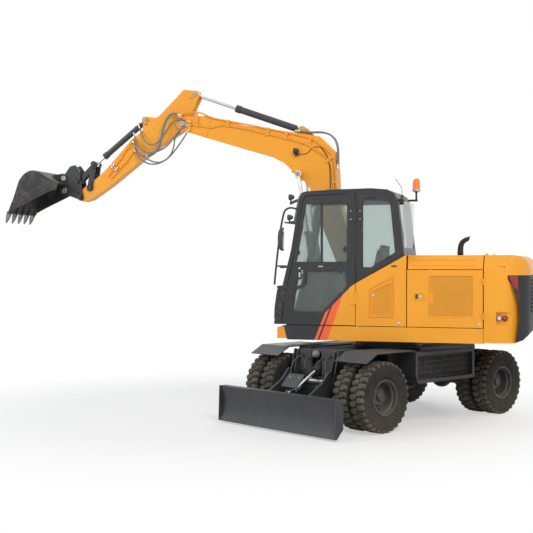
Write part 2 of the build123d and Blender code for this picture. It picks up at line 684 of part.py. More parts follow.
# Lower skirts all round the deck
SKIRT_FRONT = [
    # x, z of the left skirt's front end
    (1180.0, DECK_Z),
    (1125.0, 1130.0),
    (1105.0, UPPER_LOW_Z),
]
with BuildPart() as skirts:
    with BuildSketch(side_plane(SIDE_Y)):
        Polygon(
            (UPPER_REAR_X, UPPER_LOW_Z), (UPPER_REAR_X, DECK_Z), *SKIRT_FRONT, align=None
        )
    extrude(amount=SKIRT_T - PIN_GAP)
    with BuildSketch(side_plane(-SIDE_Y + SKIRT_T - PIN_GAP)):
        Polygon(
            (UPPER_REAR_X, UPPER_LOW_Z), (UPPER_REAR_X, DECK_Z), (620, DECK_Z), (620, UPPER_LOW_Z), align=None
        )
    extrude(amount=SKIRT_T - PIN_GAP)
    with BuildSketch(Plane.XY.offset(DECK_Z - 5)):
        with Locations(SERVICE_PIVOT):
            Circle(PIVOT_R)
    extrude(amount=5 + MOVE_GAP + 25)
finish(skirts, "skirts")

# Pin lines of the engine doors and the hood, between the counterweight and the panels
SIDE_HINGE_X = UPPER_REAR_X + MOVE_GAP / 2
HOOD_HINGE_Z = HOOD_Z + HINGE_OUT
ENGINE_DOOR_HINGES = (1400.0, 1820.0)
HOOD_HINGES = (-500.0, 500.0)

# Counterweight: a rounded cast block with a sloped top edge and a round lamp well each side
TAIL_SIDE = [
    (UPPER_REAR_X - PIN_GAP, UPPER_LOW_Z - 10),
    (UPPER_REAR_X - PIN_GAP, HOOD_Z),
    (TAIL_X + 90, HOOD_Z - 50),
    (TAIL_X, 1800),
    (TAIL_X, 1260),
    (TAIL_X + 120, UPPER_LOW_Z - 10),
]
with BuildPart() as counterweight:
    with BuildSketch(side_plane(SIDE_Y)):
        Polygon(*TAIL_SIDE, align=None)
    extrude(amount=2 * SIDE_Y)
    with BuildSketch(Plane.XY.offset(UPPER_LOW_Z - 50)):
        with BuildLine():
            Polyline(
                (UPPER_REAR_X + 50, SIDE_Y),
                (TAIL_X + TAIL_R + 100, SIDE_Y),
            )
            ThreePointArc(
                (TAIL_X + TAIL_R + 100, SIDE_Y),
                (TAIL_X + 110, SIDE_Y - 130),
                (TAIL_X + 20, SIDE_Y - TAIL_R),
            )
            ThreePointArc((TAIL_X + 20, SIDE_Y - TAIL_R), (TAIL_X, 0), (TAIL_X + 20, -SIDE_Y + TAIL_R))
            ThreePointArc(
                (TAIL_X + 20, -SIDE_Y + TAIL_R),
                (TAIL_X + 110, -SIDE_Y + 130),
                (TAIL_X + TAIL_R + 100, -SIDE_Y),
            )
            Polyline((TAIL_X + TAIL_R + 100, -SIDE_Y), (UPPER_REAR_X + 50, -SIDE_Y))
            Line((UPPER_REAR_X + 50, -SIDE_Y), (UPPER_REAR_X + 50, SIDE_Y))
        make_face()
    extrude(amount=1300, mode=Mode.INTERSECT)
    with BuildSketch(Plane.XY.offset(1240)):
        with Locations((UPPER_REAR_X, 0)):
            Rectangle(600, 2 * SIDE_Y - 360)
    extrude(amount=900, mode=Mode.SUBTRACT)
    for hinge_side in (-1, 1):
        for hinge_z in ENGINE_DOOR_HINGES:
            hinge_half(SIDE_HINGE_X, hinge_side * (SIDE_Y + HINGE_OUT), hinge_z, -HINGE_LEAF, -HINGE_H)
    for hinge_y in HOOD_HINGES:
        with Locations((SIDE_HINGE_X, hinge_y - HINGE_H / 2, HOOD_HINGE_Z)):
            Cylinder(HINGE_R, HINGE_H, rotation=(90, 0, 0))
        with Locations((SIDE_HINGE_X - HINGE_LEAF / 2, hinge_y - HINGE_H / 2, HOOD_HINGE_Z - 8)):
            Box(HINGE_LEAF, HINGE_H, 10)
finish(counterweight, "counterweight")

# Engine: one plain block at its place, across the tail
with BuildPart() as engine:
    with Locations((-1240, -80, 1560)):
        Box(520, 900, 620)
    with Locations((-1170, -80, UPPER_LOW_Z + 30 + 90)):
        Box(300, 500, 180 - 2 * PIN_GAP)
finish(engine, "engine")

# Rear wall between cab and engine, with the posts that carry the hood and the side doors
FRAME_DECK_Z = UPPER_LOW_Z + 30 + PIN_GAP
with BuildPart() as hood_frame:
    with Locations((HOOD_FRONT_X - 20, 0, (DECK_Z - 10 + PIN_GAP + HOOD_EDGE_Z - 10) / 2)):
        Box(24, 2 * (SIDE_Y - DOOR_T - 15), HOOD_EDGE_Z - DECK_Z - PIN_GAP)
    for post_side in (-1, 1):
        post_y = post_side * (SIDE_Y - DOOR_T - 40)
        with Locations((UPPER_REAR_X + 28, post_y, (FRAME_DECK_Z + HOOD_EDGE_Z - 10) / 2)):
            Box(50, 50, HOOD_EDGE_Z - 10 - FRAME_DECK_Z)
        with Locations(((HOOD_FRONT_X + UPPER_REAR_X) / 2, post_y, HOOD_EDGE_Z - 35)):
            Box(HOOD_FRONT_X - UPPER_REAR_X - 20, 50, 50)
finish(hood_frame, "hood_frame")

# Engine hood: a shell with sloped sides, two ribs on each slope, hinged at its rear edge
HOOD_REAR_X = UPPER_REAR_X + MOVE_GAP
HOOD_SECTION = [
    # y, z of the left half of the outer skin
    (SIDE_Y, HOOD_EDGE_Z + MOVE_GAP),
    (SIDE_Y, HOOD_EDGE_Z + 26),
    (SIDE_Y - 120, HOOD_Z),
]
with BuildPart() as engine_hood:
    with BuildSketch(Plane.YZ.offset(HOOD_REAR_X)):
        Polygon(
            *HOOD_SECTION,
            *[(-y, z) for y, z in reversed(HOOD_SECTION)],
            align=None,
        )
    extrude(amount=HOOD_FRONT_X - HOOD_REAR_X)
    with BuildSketch(Plane.YZ.offset(HOOD_REAR_X + 10)):
        Polygon(
            (SIDE_Y - 14, HOOD_EDGE_Z),
            (SIDE_Y - 14, HOOD_EDGE_Z + 22),
            (SIDE_Y - 126, HOOD_Z - 14),
            (-SIDE_Y + 126, HOOD_Z - 14),
            (-SIDE_Y + 14, HOOD_EDGE_Z + 22),
            (-SIDE_Y + 14, HOOD_EDGE_Z),
            align=None,
        )
    extrude(amount=HOOD_FRONT_X - HOOD_REAR_X - 20, mode=Mode.SUBTRACT)
    with BuildSketch(side_plane(SIDE_Y + 1)):
        Polygon(
            (HOOD_FRONT_X + 1, HOOD_Z - 50),
            (HOOD_FRONT_X, HOOD_Z - 50),
            (HOOD_FRONT_X - 18, HOOD_EDGE_Z),
            (HOOD_FRONT_X + 1, HOOD_EDGE_Z),
            align=None,
        )
    extrude(amount=2 * SIDE_Y + 2, mode=Mode.SUBTRACT)
    for hinge_y in HOOD_HINGES:
        with Locations((SIDE_HINGE_X, hinge_y + HINGE_H / 2 + PIN_GAP, HOOD_HINGE_Z)):
            Cylinder(HINGE_R, HINGE_H, rotation=(90, 0, 0))
        with Locations((SIDE_HINGE_X + HINGE_LEAF / 2, hinge_y + HINGE_H / 2 + PIN_GAP, HOOD_HINGE_Z - 9)):
            Box(HINGE_LEAF, HINGE_H, 9)
finish(engine_hood, "engine_hood")

# Exhaust tail pipe on the hood, bent back at its top
EXHAUST = (-920.0, -480.0)
with BuildPart() as exhaust:
    with BuildLine() as exhaust_line:
        FilletPolyline(
            (EXHAUST[0], EXHAUST[1], HOOD_Z + PIN_GAP),
            (EXHAUST[0], EXHAUST[1], HOOD_Z + 150),
            (EXHAUST[0] - 70, EXHAUST[1], HOOD_Z + 225),
            (EXHAUST[0] - 170, EXHAUST[1], HOOD_Z + 225),
            radius=60,
        )
    with BuildSketch(Plane.XY.offset(HOOD_Z + PIN_GAP)):
        with Locations(EXHAUST):
            Circle(38)
            Circle(34, mode=Mode.SUBTRACT)
    sweep(path=exhaust_line.wires()[0])
finish(exhaust, "exhaust")

# Left side doors; the front one turns on two upright pivots near its front edge
BELT = [
    # x, z of the line where the yellow side panels end below the cab's dark wall
    (HOOD_FRONT_X + MOVE_GAP, 2147.0),
    (-426.0, 2147.0),
    (203.0, 1798.0),
    (CAB_DOOR_REAR_X - MOVE_GAP, 1795.0),
]
with BuildPart() as service_door:
    with BuildSketch(side_plane(SIDE_Y)):
        Polygon(
            (HOOD_FRONT_X + MOVE_GAP, DECK_Z + MOVE_GAP),
            *BELT,
            (CAB_DOOR_REAR_X - MOVE_GAP, DECK_Z + MOVE_GAP),
            align=None,
        )
    extrude(amount=DOOR_T)
    with BuildSketch(side_plane(SIDE_Y)):
        Polygon((36, 1365), (36, 1729), (-275, 1888), (-281, 1370), align=None)
    extrude(amount=8, mode=Mode.SUBTRACT)
    with BuildSketch(side_plane(SIDE_Y - 30)):
        Polygon((180, 1290), (180, 1760), (-400, 2080), (-400, 1290), align=None)
    extrude(amount=DOOR_T, mode=Mode.SUBTRACT)
    for pivot_low in (DECK_Z + MOVE_GAP, SERVICE_TOP_Z - 30):
        with BuildSketch(Plane.XY.offset(pivot_low)):
            with Locations(SERVICE_PIVOT):
                Circle(PIVOT_R + PIN_GAP)
        extrude(amount=45, mode=Mode.SUBTRACT)
finish(service_door, "service_door")

with BuildPart() as engine_door:
    with BuildSketch(side_plane(SIDE_Y)):
        Polygon(
            (HOOD_REAR_X, DECK_Z + MOVE_GAP),
            (HOOD_REAR_X, HOOD_EDGE_Z),
            (HOOD_FRONT_X - MOVE_GAP / 2, HOOD_EDGE_Z),
            (HOOD_FRONT_X - MOVE_GAP / 2, DECK_Z + MOVE_GAP),
            align=None,
        )
    extrude(amount=DOOR_T)
    with BuildSketch(side_plane(SIDE_Y)):
        Polygon((-712, 1896), (-1254, 1896), (-1254, 1391), (-712, 1391), align=None)
    extrude(amount=8, mode=Mode.SUBTRACT)
    with BuildSketch(side_plane(SIDE_Y - 30)):
        Polygon((-500, 1290), (-1330, 1290), (-1330, 1930), (-500, 1930), align=None)
    extrude(amount=DOOR_T, mode=Mode.SUBTRACT)
    for hinge_z in ENGINE_DOOR_HINGES:
        hinge_half(SIDE_HINGE_X, SIDE_Y + HINGE_OUT, hinge_z + PIN_GAP, HINGE_LEAF, HINGE_H)
finish(engine_door, "engine_door")

with BuildPart() as right_door:
    with BuildSketch(side_plane(-SIDE_Y + DOOR_T)):
        Polygon(
            (HOOD_REAR_X, DECK_Z + MOVE_GAP),
            (HOOD_REAR_X, HOOD_EDGE_Z),
            (HOOD_FRONT_X - MOVE_GAP / 2, HOOD_EDGE_Z),
            (HOOD_FRONT_X - MOVE_GAP / 2, DECK_Z + MOVE_GAP),
            align=None,
        )
    extrude(amount=DOOR_T)
    with BuildSketch(side_plane(-SIDE_Y + DOOR_T + 10)):
        Polygon((-500, 1290), (-1330, 1290), (-1330, 1930), (-500, 1930), align=None)
    extrude(amount=DOOR_T - 5, mode=Mode.SUBTRACT)
    for hinge_z in ENGINE_DOOR_HINGES:
        hinge_half(SIDE_HINGE_X, -SIDE_Y - HINGE_OUT, hinge_z + PIN_GAP, HINGE_LEAF, HINGE_H)
finish(right_door, "right_door")

# Tanks on the right side of the boom, stepped down to the front
TANK_WALL = 40.0
with BuildPart() as side_tank:
    with BuildSketch(side_plane(SLOT_Y[0] - 40)):
        Polygon(
            (HOOD_FRONT_X + MOVE_GAP, DECK_Z + PIN_GAP),
            (HOOD_FRONT_X + MOVE_GAP, HOOD_Z),
            (180, HOOD_Z),
            (260, HOOD_Z - 80),
            (260, 1690),
            (560, 1690),
            (620, 1640),
            (620, DECK_Z + PIN_GAP),
            align=None,
        )
    extrude(amount=SIDE_Y + SLOT_Y[0] - 40)
    with BuildSketch(side_plane(SLOT_Y[0] - 40 - TANK_WALL)):
        Polygon(
            (HOOD_FRONT_X + MOVE_GAP + TANK_WALL, DECK_Z + TANK_WALL),
            (HOOD_FRONT_X + MOVE_GAP + TANK_WALL, HOOD_Z - TANK_WALL),
            (180 - TANK_WALL, HOOD_Z - TANK_WALL),
            (260 - TANK_WALL, HOOD_Z - 80 - TANK_WALL),
            (260 - TANK_WALL, 1690 - TANK_WALL),
            (560 - TANK_WALL, 1690 - TANK_WALL),
            (560 - TANK_WALL, DECK_Z + TANK_WALL),
            align=None,
        )
    extrude(amount=SIDE_Y + SLOT_Y[0] - 40 - 2 * TANK_WALL, mode=Mode.SUBTRACT)
    fillet(side_tank.edges().filter_by(Axis.Z).group_by(Axis.X)[-1], radius=60)
finish(side_tank, "side_tank")

# Cab: a shell with a curved front, window openings, a door opening and a recess for the side panel
CAB_SIDE = [
    (-398, CAB_FLOOR_Z),
    (-410, 2144),
    (-322, 2860),
    (-250, 2950),
    (17, 2986),
    (411, 2977),
    (870, 2945),
    (946, 2891),
    (1058, 2220),
    (1159, 1820),
    (1220, 1570),
    (1286, 1290),
    (1284, CAB_FLOOR_Z),
]
CAB_FRONT = CAB_SIDE[7:12]
CAB_REAR_X = -410.0
GLASS_INSET = 16.0
DOOR_SIDE = [
    (CAB_DOOR_REAR_X, CAB_FLOOR_Z),
    (1180, CAB_FLOOR_Z),
    (1152, 1560),
    (1096, 1805),
    (997, 2205),
    (893, 2850),
    (860, 2905),
    (CAB_DOOR_REAR_X, 2930),
]
DOOR_UPPER_WINDOW = [(307, 2050), (1004, 2050), (871, 2820), (307, 2830)]
DOOR_LOWER_WINDOW = [(313, 1746), (646, 1412), (1045, 1413), (950, 1961), (313, 1962)]
REAR_SIDE_WINDOW = [(133, 2882), (-243, 2850), (-310, 2175), (11, 1981), (132, 1981)]
RIGHT_WINDOW = [(-300, 1960), (-250, 2830), (860, 2830), (960, 2200), (1040, 1960)]
FRONT_WINDOWS = [
    # lowest z, highest z
    (1420.0, 1850.0),
    (1900.0, 2840.0),
]
REAR_WINDOW = (2240.0, 2830.0)


def cab_front_x(z):
    """Distance forward of the cab's front at a height, between the corners of its outline."""
    for (top_x, top_z), (low_x, low_z) in zip(CAB_FRONT, CAB_FRONT[1:]):
        if low_z <= z <= top_z:
            return low_x + (top_x - low_x) * (z - low_z) / (top_z - low_z)
    return CAB_FRONT[-1][0]


FRONT_PILLAR = 62.0
DOOR_PANEL_T = 52.0
CAB_DOOR_HINGES = (1900.0, 2720.0)
with BuildPart() as cab_shell:
    with BuildSketch(side_plane(SIDE_Y)):
        Polygon(*CAB_SIDE, align=None)
    extrude(amount=SIDE_Y - CAB_RIGHT_Y)
    with BuildSketch(side_plane(SIDE_Y - CAB_LEFT_WALL)):
        Polygon(*CAB_SIDE, align=None)
        offset(amount=-CAB_WALL, kind=Kind.INTERSECTION)
    extrude(amount=SIDE_Y - CAB_LEFT_WALL - CAB_RIGHT_Y - CAB_WALL, mode=Mode.SUBTRACT)
    with BuildSketch(side_plane(SIDE_Y + 10)):
        Polygon(*DOOR_SIDE, align=None)
        offset(amount=MOVE_GAP, kind=Kind.INTERSECTION)
    extrude(amount=CAB_LEFT_WALL + 20, mode=Mode.SUBTRACT)
    with BuildSketch(side_plane(SIDE_Y + 10)):
        Polygon(*REAR_SIDE_WINDOW, align=None)
    extrude(amount=CAB_LEFT_WALL + 20, mode=Mode.SUBTRACT)
    with BuildSketch(side_plane(SIDE_Y + 10)):
        Polygon(
            (-500, CAB_FLOOR_Z - 20),
            (-500, 2156),
            (-423, 2156),
            (207, 1806),
            (CAB_DOOR_REAR_X, 1806),
            (CAB_DOOR_REAR_X, CAB_FLOOR_Z - 20),
            align=None,
        )
    extrude(amount=DOOR_T + 24, mode=Mode.SUBTRACT)
    with BuildSketch(side_plane(CAB_RIGHT_Y + CAB_WALL + 10)):
        Polygon(*RIGHT_WINDOW, align=None)
    extrude(amount=CAB_WALL + 20, mode=Mode.SUBTRACT)
    for window_low, window_high in FRONT_WINDOWS:
        with BuildSketch(Plane.YZ.offset(850)):
            with Locations(((CAB_RIGHT_Y + SIDE_Y - 20) / 2, (window_low + window_high) / 2)):
                Rectangle(SIDE_Y - 20 - CAB_RIGHT_Y - 2 * FRONT_PILLAR, window_high - window_low)
        extrude(amount=500, mode=Mode.SUBTRACT)
    with BuildSketch(Plane.YZ.offset(-500)):
        with Locations(((CAB_RIGHT_Y + SIDE_Y - 20) / 2, sum(REAR_WINDOW) / 2)):
            Rectangle(SIDE_Y - 20 - CAB_RIGHT_Y - 2 * FRONT_PILLAR - 60, REAR_WINDOW[1] - REAR_WINDOW[0])
    extrude(amount=220, mode=Mode.SUBTRACT)
    for mount_x in (-250, 1000):
        for mount_y in (CAB_RIGHT_Y + 60, SIDE_Y - 150):
            with Locations((mount_x, mount_y, (UPPER_LOW_Z + 30 + PIN_GAP + CAB_FLOOR_Z) / 2)):
                Cylinder(45, CAB_FLOOR_Z - UPPER_LOW_Z - 30 - PIN_GAP)
    for hinge_z in CAB_DOOR_HINGES:
        hinge_half(CAB_DOOR_REAR_X - MOVE_GAP / 2, SIDE_Y + HINGE_OUT, hinge_z, -HINGE_LEAF, -HINGE_H)
    with BuildSketch(Plane.XY.offset(SERVICE_TOP_Z - 25)):
        with Locations(SERVICE_PIVOT):
            Circle(PIVOT_R)
    extrude(amount=60)
finish(cab_shell, "cab_shell")

with BuildPart() as cab_door:
    with BuildSketch(side_plane(SIDE_Y)):
        Polygon(*DOOR_SIDE, align=None)
        Polygon(*DOOR_UPPER_WINDOW, align=None, mode=Mode.SUBTRACT)
        Polygon(*DOOR_LOWER_WINDOW, align=None, mode=Mode.SUBTRACT)
    extrude(amount=DOOR_PANEL_T)
    for hinge_z in CAB_DOOR_HINGES:
        hinge_half(CAB_DOOR_REAR_X - MOVE_GAP / 2, SIDE_Y + HINGE_OUT, hinge_z + PIN_GAP, HINGE_LEAF, HINGE_H)
finish(cab_door, "cab_door")

with BuildPart() as door_glass:
    for window in (DOOR_UPPER_WINDOW, DOOR_LOWER_WINDOW):
        with BuildSketch(side_plane(SIDE_Y - 20)):
            Polygon(*window, align=None)
            offset(amount=-PIN_GAP, kind=Kind.INTERSECTION)
        extrude(amount=GLASS_T)
finish(door_glass, "door_glass")

with BuildPart() as cab_glass:
    with BuildSketch(side_plane(SIDE_Y - 20)):
        Polygon(*REAR_SIDE_WINDOW, align=None)
        offset(amount=-PIN_GAP, kind=Kind.INTERSECTION)
    extrude(amount=GLASS_T)
    with BuildSketch(side_plane(CAB_RIGHT_Y + 26)):
        Polygon(*RIGHT_WINDOW, align=None)
        offset(amount=-PIN_GAP, kind=Kind.INTERSECTION)
    extrude(amount=GLASS_T)
    for window_low, window_high in FRONT_WINDOWS:
        heights = [window_low + PIN_GAP]
        heights += [z for x, z in reversed(CAB_FRONT) if window_low < z < window_high]
        heights.append(window_high - PIN_GAP)
        with BuildSketch(side_plane(SIDE_Y - 20 - FRONT_PILLAR - PIN_GAP)):
            Polygon(
                *[(cab_front_x(z) - GLASS_INSET, z) for z in heights],
                *[(cab_front_x(z) - GLASS_INSET - GLASS_T, z) for z in reversed(heights)],
                align=None,
            )
        extrude(amount=SIDE_Y - 20 - CAB_RIGHT_Y - 2 * FRONT_PILLAR - 2 * PIN_GAP)
    with BuildSketch(Plane.YZ.offset(CAB_REAR_X + 22)):
        with Locations(((CAB_RIGHT_Y + SIDE_Y - 20) / 2, sum(REAR_WINDOW) / 2)):
            Rectangle(
                SIDE_Y - 20 - CAB_RIGHT_Y - 2 * FRONT_PILLAR - 60 - 2 * PIN_GAP,
                REAR_WINDOW[1] - REAR_WINDOW[0] - 2 * PIN_GAP,
            )
    extrude(amount=GLASS_T)
finish(cab_glass, "cab_glass")

# Cab inside: seat, consoles with levers, steering column with its wheel, and pedals
SEAT_X = 190.0
SEAT_Y = 560.0
FLOOR_TOP_Z = CAB_FLOOR_Z + CAB_WALL
with BuildPart() as seat:
    with Locations((SEAT_X, SEAT_Y, FLOOR_TOP_Z + PIN_GAP + 140)):
        Box(360, 340, 280)
    with BuildSketch(side_plane(SEAT_Y + 240)):
        Polygon(
            (SEAT_X - 230, FLOOR_TOP_Z + 260),
            (SEAT_X + 280, FLOOR_TOP_Z + 280),
            (SEAT_X + 290, FLOOR_TOP_Z + 380),
            (SEAT_X - 120, FLOOR_TOP_Z + 390),
            (SEAT_X - 210, FLOOR_TOP_Z + 980),
            (SEAT_X - 320, FLOOR_TOP_Z + 980),
            align=None,
        )
    extrude(amount=480)
    fillet(seat.edges().filter_by(Axis.Y).filter_by_position(Axis.Z, FLOOR_TOP_Z + 370, 4000), radius=45)
finish(seat, "seat")

with BuildPart() as cab_controls:
    for console_y in (SEAT_Y - 330, SEAT_Y + 330):
        with BuildSketch(side_plane(console_y + 65)):
            Polygon(
                (SEAT_X - 160, FLOOR_TOP_Z + PIN_GAP),
                (SEAT_X - 200, FLOOR_TOP_Z + 520),
                (SEAT_X + 300, FLOOR_TOP_Z + 560),
                (SEAT_X + 320, FLOOR_TOP_Z + 500),
                (SEAT_X + 60, FLOOR_TOP_Z + PIN_GAP),
                align=None,
            )
        extrude(amount=130)
        with BuildSketch(Plane((SEAT_X + 250, console_y, FLOOR_TOP_Z + 530), z_dir=(0.1, 0, 1))):
            Circle(12)
        extrude(amount=150)
        with Locations((SEAT_X + 266, console_y, FLOOR_TOP_Z + 715)):
            Cylinder(24, 110)
    with Locations((860, SEAT_Y, FLOOR_TOP_Z + PIN_GAP + 15)):
        Box(150, 170, 30)
    with BuildSketch(Plane((860, SEAT_Y, FLOOR_TOP_Z + 20), x_dir=(0, 1, 0), z_dir=(-0.28, 0, 1))):
        Rectangle(110, 80)
    extrude(amount=665)
    wheel_plane = Plane((672, SEAT_Y, FLOOR_TOP_Z + 665), x_dir=(0, 1, 0), z_dir=(-0.28, 0, 1))
    with BuildSketch(wheel_plane.offset(-12)):
        Circle(185)
        Circle(160, mode=Mode.SUBTRACT)
        Rectangle(330, 36)
        Circle(50)
    extrude(amount=24)
finish(cab_controls, "cab_controls")

# Mirrors and hand rails at the cab's front, outside the pillars
RAIL_LOW_Z = 1990.0
RAIL_TOP_Z = 2560.0
with BuildPart() as mirrors:
    with BuildLine() as rail_line:
        FilletPolyline(
            (cab_front_x(RAIL_LOW_Z - 12) + PIN_GAP, SIDE_Y - 34, RAIL_LOW_Z),
            (1210, SIDE_Y - 34, RAIL_LOW_Z),
            (1110, SIDE_Y - 34, RAIL_TOP_Z),
            (cab_front_x(RAIL_TOP_Z - 12) + PIN_GAP, SIDE_Y - 34, RAIL_TOP_Z),
            radius=30,
        )
    with BuildSketch(Plane((cab_front_x(RAIL_LOW_Z - 12) + PIN_GAP, SIDE_Y - 34, RAIL_LOW_Z), z_dir=(1, 0, 0))):
        Circle(12)
    sweep(path=rail_line.wires()[0])
    with Locations((1178, SIDE_Y + 4, 2360)):
        Box(36, 150, 260)
finish(mirrors, "mirrors")

# Beacon on a post behind the cab roof
BEACON = (-430.0, 230.0)
with BuildPart() as beacon:
    with Locations((BEACON[0] + 54 - PIN_GAP, BEACON[1], 2875)):
        Box(108, 40, 30)
    with Locations((BEACON[0], BEACON[1], 2890)):
        Cylinder(14, 200)
    with BuildSketch(Plane.XY.offset(2980)):
        with Locations(BEACON):
            Circle(62)
    extrude(amount=45)
    with BuildSketch(Plane.XY.offset(3025)):
        with Locations(BEACON):
            Circle(56)
    extrude(amount=160, taper=5)
finish(beacon, "beacon")

# Boom: a bent box beam with a hollow inside, ears on its back for the arm cylinder, bosses for the lift
BOOM_SIDE = [
    (262, 1430),
    (300, 1366),
    (420, 1366),
    (462, 1440),
    (960, 2660),
    (1090, 3080),
    (1190, 3210),
    (1270, 3215),
    (1320, 3310),
    (1464, 3450),
    (1640, 3540),
    (2106, 3683),
    (2697, 3867),
    (3030, 3974),
    (3098, 4040),
    (3090, 4120),
    (3020, 4164),
    (2614, 4159),
    (2040, 3997),
    (1300, 3868),
    (948, 3801),
    (733, 3590),
    (700, 3000),
    (560, 2480),
]
with BuildPart() as boom:
    with BuildSketch(side_plane(BOOM_Y + BOOM_HALF_W)):
        Polygon(*BOOM_SIDE, align=None)
    extrude(amount=2 * BOOM_HALF_W)
    with BuildSketch(side_plane(BOOM_Y + BOOM_HALF_W - BOOM_PLATE)):
        Polygon(
            (520, 1900),
            (930, 2680),
            (1040, 3090),
            (1160, 3330),
            (1420, 3500),
            (1640, 3590),
            (2690, 3920),
            (2614, 4110),
            (2050, 3950),
            (1300, 3820),
            (980, 3760),
            (780, 3560),
            (740, 2990),
            (600, 2470),
            (430, 1900),
            align=None,
        )
    extrude(amount=2 * (BOOM_HALF_W - BOOM_PLATE), mode=Mode.SUBTRACT)
    with BuildSketch(side_plane(BOOM_Y + BOOM_HALF_W)):
        with Locations(BOOM_FOOT):
            Circle(38 + PIN_GAP)
    extrude(amount=2 * BOOM_HALF_W, mode=Mode.SUBTRACT)
    with BuildSketch(side_plane(BOOM_Y + ARM_END_HALF_W + PIN_GAP)):
        with Locations(BOOM_TIP):
            Circle(210)
        Polygon((2720, 4180), (2733, 4108), (2830, 4090), (2860, 4180), align=None)
    extrude(amount=2 * (ARM_END_HALF_W + PIN_GAP), mode=Mode.SUBTRACT)
    with BuildSketch(side_plane(BOOM_Y + BOOM_HALF_W)):
        with Locations(BOOM_TIP):
            Circle(PIN_R + 6)
    extrude(amount=2 * BOOM_HALF_W)
    for boss_side in (-1, 1):
        pad_w = BOOM_CYL_OFFSET - CYL_EYE_HALF_W - PIN_GAP - BOOM_HALF_W
        with BuildSketch(side_plane(BOOM_Y + boss_side * (BOOM_HALF_W + pad_w / 2) + pad_w / 2)):
            with Locations(BOOM_BOSS):
                Circle(62)
        extrude(amount=pad_w)
        with BuildSketch(side_plane(BOOM_Y + boss_side * (CYL_EYE_HALF_W + PIN_GAP + 12) + 12)):
            Polygon(
                (1040, 3790),
                (1100, 3880),
                (ARM_CYL_BASE[0] - 30, ARM_CYL_BASE[1] + 58),
                (ARM_CYL_BASE[0] + 30, ARM_CYL_BASE[1] + 58),
                (ARM_CYL_BASE[0] + 62, 3900),
                (ARM_CYL_BASE[0] + 75, 3850),
                align=None,
            )
        extrude(amount=24)
    with BuildSketch(side_plane(BOOM_Y + CYL_EYE_HALF_W + 20)):
        with Locations(ARM_CYL_BASE):
            Circle(PIN_R)
    extrude(amount=2 * (CYL_EYE_HALF_W + 20))
finish(boom, "boom")

# Lift cylinders: a pair of barrels pinned at the frame and a pair of rods to the boom's bosses
BOOM_CYL_LENGTH = 1330.0
with BuildPart() as boom_cylinder_barrels:
    for pair_side in (-1, 1):
        add(
            cylinder_barrel(
                BOOM_CYL_BASE, BOOM_BOSS, BOOM_Y + pair_side * BOOM_CYL_OFFSET, 44, BOOM_CYL_LENGTH, CYL_EYE_HALF_W
            ).part
        )
finish(boom_cylinder_barrels, "boom_cylinder_barrels")
with BuildPart() as boom_cylinder_rods:
    for pair_side in (-1, 1):
        add(
            cylinder_rod(
                BOOM_CYL_BASE,
                BOOM_BOSS,
                BOOM_Y + pair_side * BOOM_CYL_OFFSET,
                44,
                BOOM_CYL_LENGTH - 640,
                50,
                CYL_EYE_HALF_W,
            ).part
        )
finish(boom_cylinder_rods, "boom_cylinder_rods")

ARM_CYL_LENGTH = 1040.0
arm_cylinder_barrel = cylinder_barrel(ARM_CYL_BASE, ARM_PIN, BOOM_Y, 48, ARM_CYL_LENGTH, CYL_EYE_HALF_W)
finish(arm_cylinder_barrel, "arm_cylinder_barrel")
arm_cylinder_rod = cylinder_rod(ARM_CYL_BASE, ARM_PIN, BOOM_Y, 48, ARM_CYL_LENGTH - 665, 46, CYL_EYE_HALF_W)
finish(arm_cylinder_rod, "arm_cylinder_rod")

# Arm: a tapered box beam on the boom's tip pin
ARM_SIDE = [
    (2759, 4461),
    (2863, 4246),
    (2920, 4080),
    (2950, 3985),
    (3021, 3970),
    (3260, 3834),
    (3583, 3623),
    (4164, 3199),
    (4487, 2999),
    (4600, 2968),
    (4690, 2990),
    (4710, 3070),
    (4660, 3120),
    (4580, 3190),
    (4480, 3260),
    (4404, 3305),
    (4232, 3446),
    (3823, 3871),
    (3664, 3978),
    (3600, 4090),
    (3380, 4200),
    (2996, 4561),
    (2784, 4531),
]
with BuildPart() as arm:
    with BuildSketch(side_plane(BOOM_Y + ARM_END_HALF_W)):
        Polygon(*ARM_SIDE, align=None)
    extrude(amount=2 * ARM_END_HALF_W)
    with BuildSketch(side_plane(BOOM_Y + ARM_END_HALF_W - ARM_PLATE)):
        Polygon((3080, 4060), (3260, 3900), (3600, 3680), (4170, 3260), (4300, 3200), (4210, 3400), (3780, 3830), (3350, 4130), align=None)
    extrude(amount=2 * (ARM_END_HALF_W - ARM_PLATE), mode=Mode.SUBTRACT)
    with BuildSketch(side_plane(BOOM_Y + CYL_EYE_HALF_W + PIN_GAP)):
        with Locations(ARM_PIN):
            Circle(150)
    extrude(amount=2 * (CYL_EYE_HALF_W + PIN_GAP), mode=Mode.SUBTRACT)
    for bore_spot, bore_r in ((BOOM_TIP, PIN_R + 6), (ROCKER_PIN, PIN_R), (BUCKET_PIN, PIN_R)):
        with BuildSketch(side_plane(BOOM_Y + ARM_END_HALF_W)):
            with Locations(bore_spot):
                Circle(bore_r + PIN_GAP)
        extrude(amount=2 * ARM_END_HALF_W, mode=Mode.SUBTRACT)
    for ear_side in (-1, 1):
        with BuildSketch(side_plane(BOOM_Y + ear_side * (CYL_EYE_HALF_W + PIN_GAP + 10) + 10)):
            Polygon(
                (3380, 4160),
                (BUCKET_CYL_BASE[0] - 40, BUCKET_CYL_BASE[1] + 50),
                (BUCKET_CYL_BASE[0] + 40, BUCKET_CYL_BASE[1] + 50),
                (BUCKET_CYL_BASE[0] + 50, BUCKET_CYL_BASE[1] - 15),
                (3652, 4075),
                (3648, 3960),
                (3560, 3900),
                align=None,
            )
        extrude(amount=20)
    with BuildSketch(side_plane(BOOM_Y + CYL_EYE_HALF_W + 18)):
        with Locations(BUCKET_CYL_BASE):
            Circle(PIN_R)
    extrude(amount=2 * (CYL_EYE_HALF_W + 18))
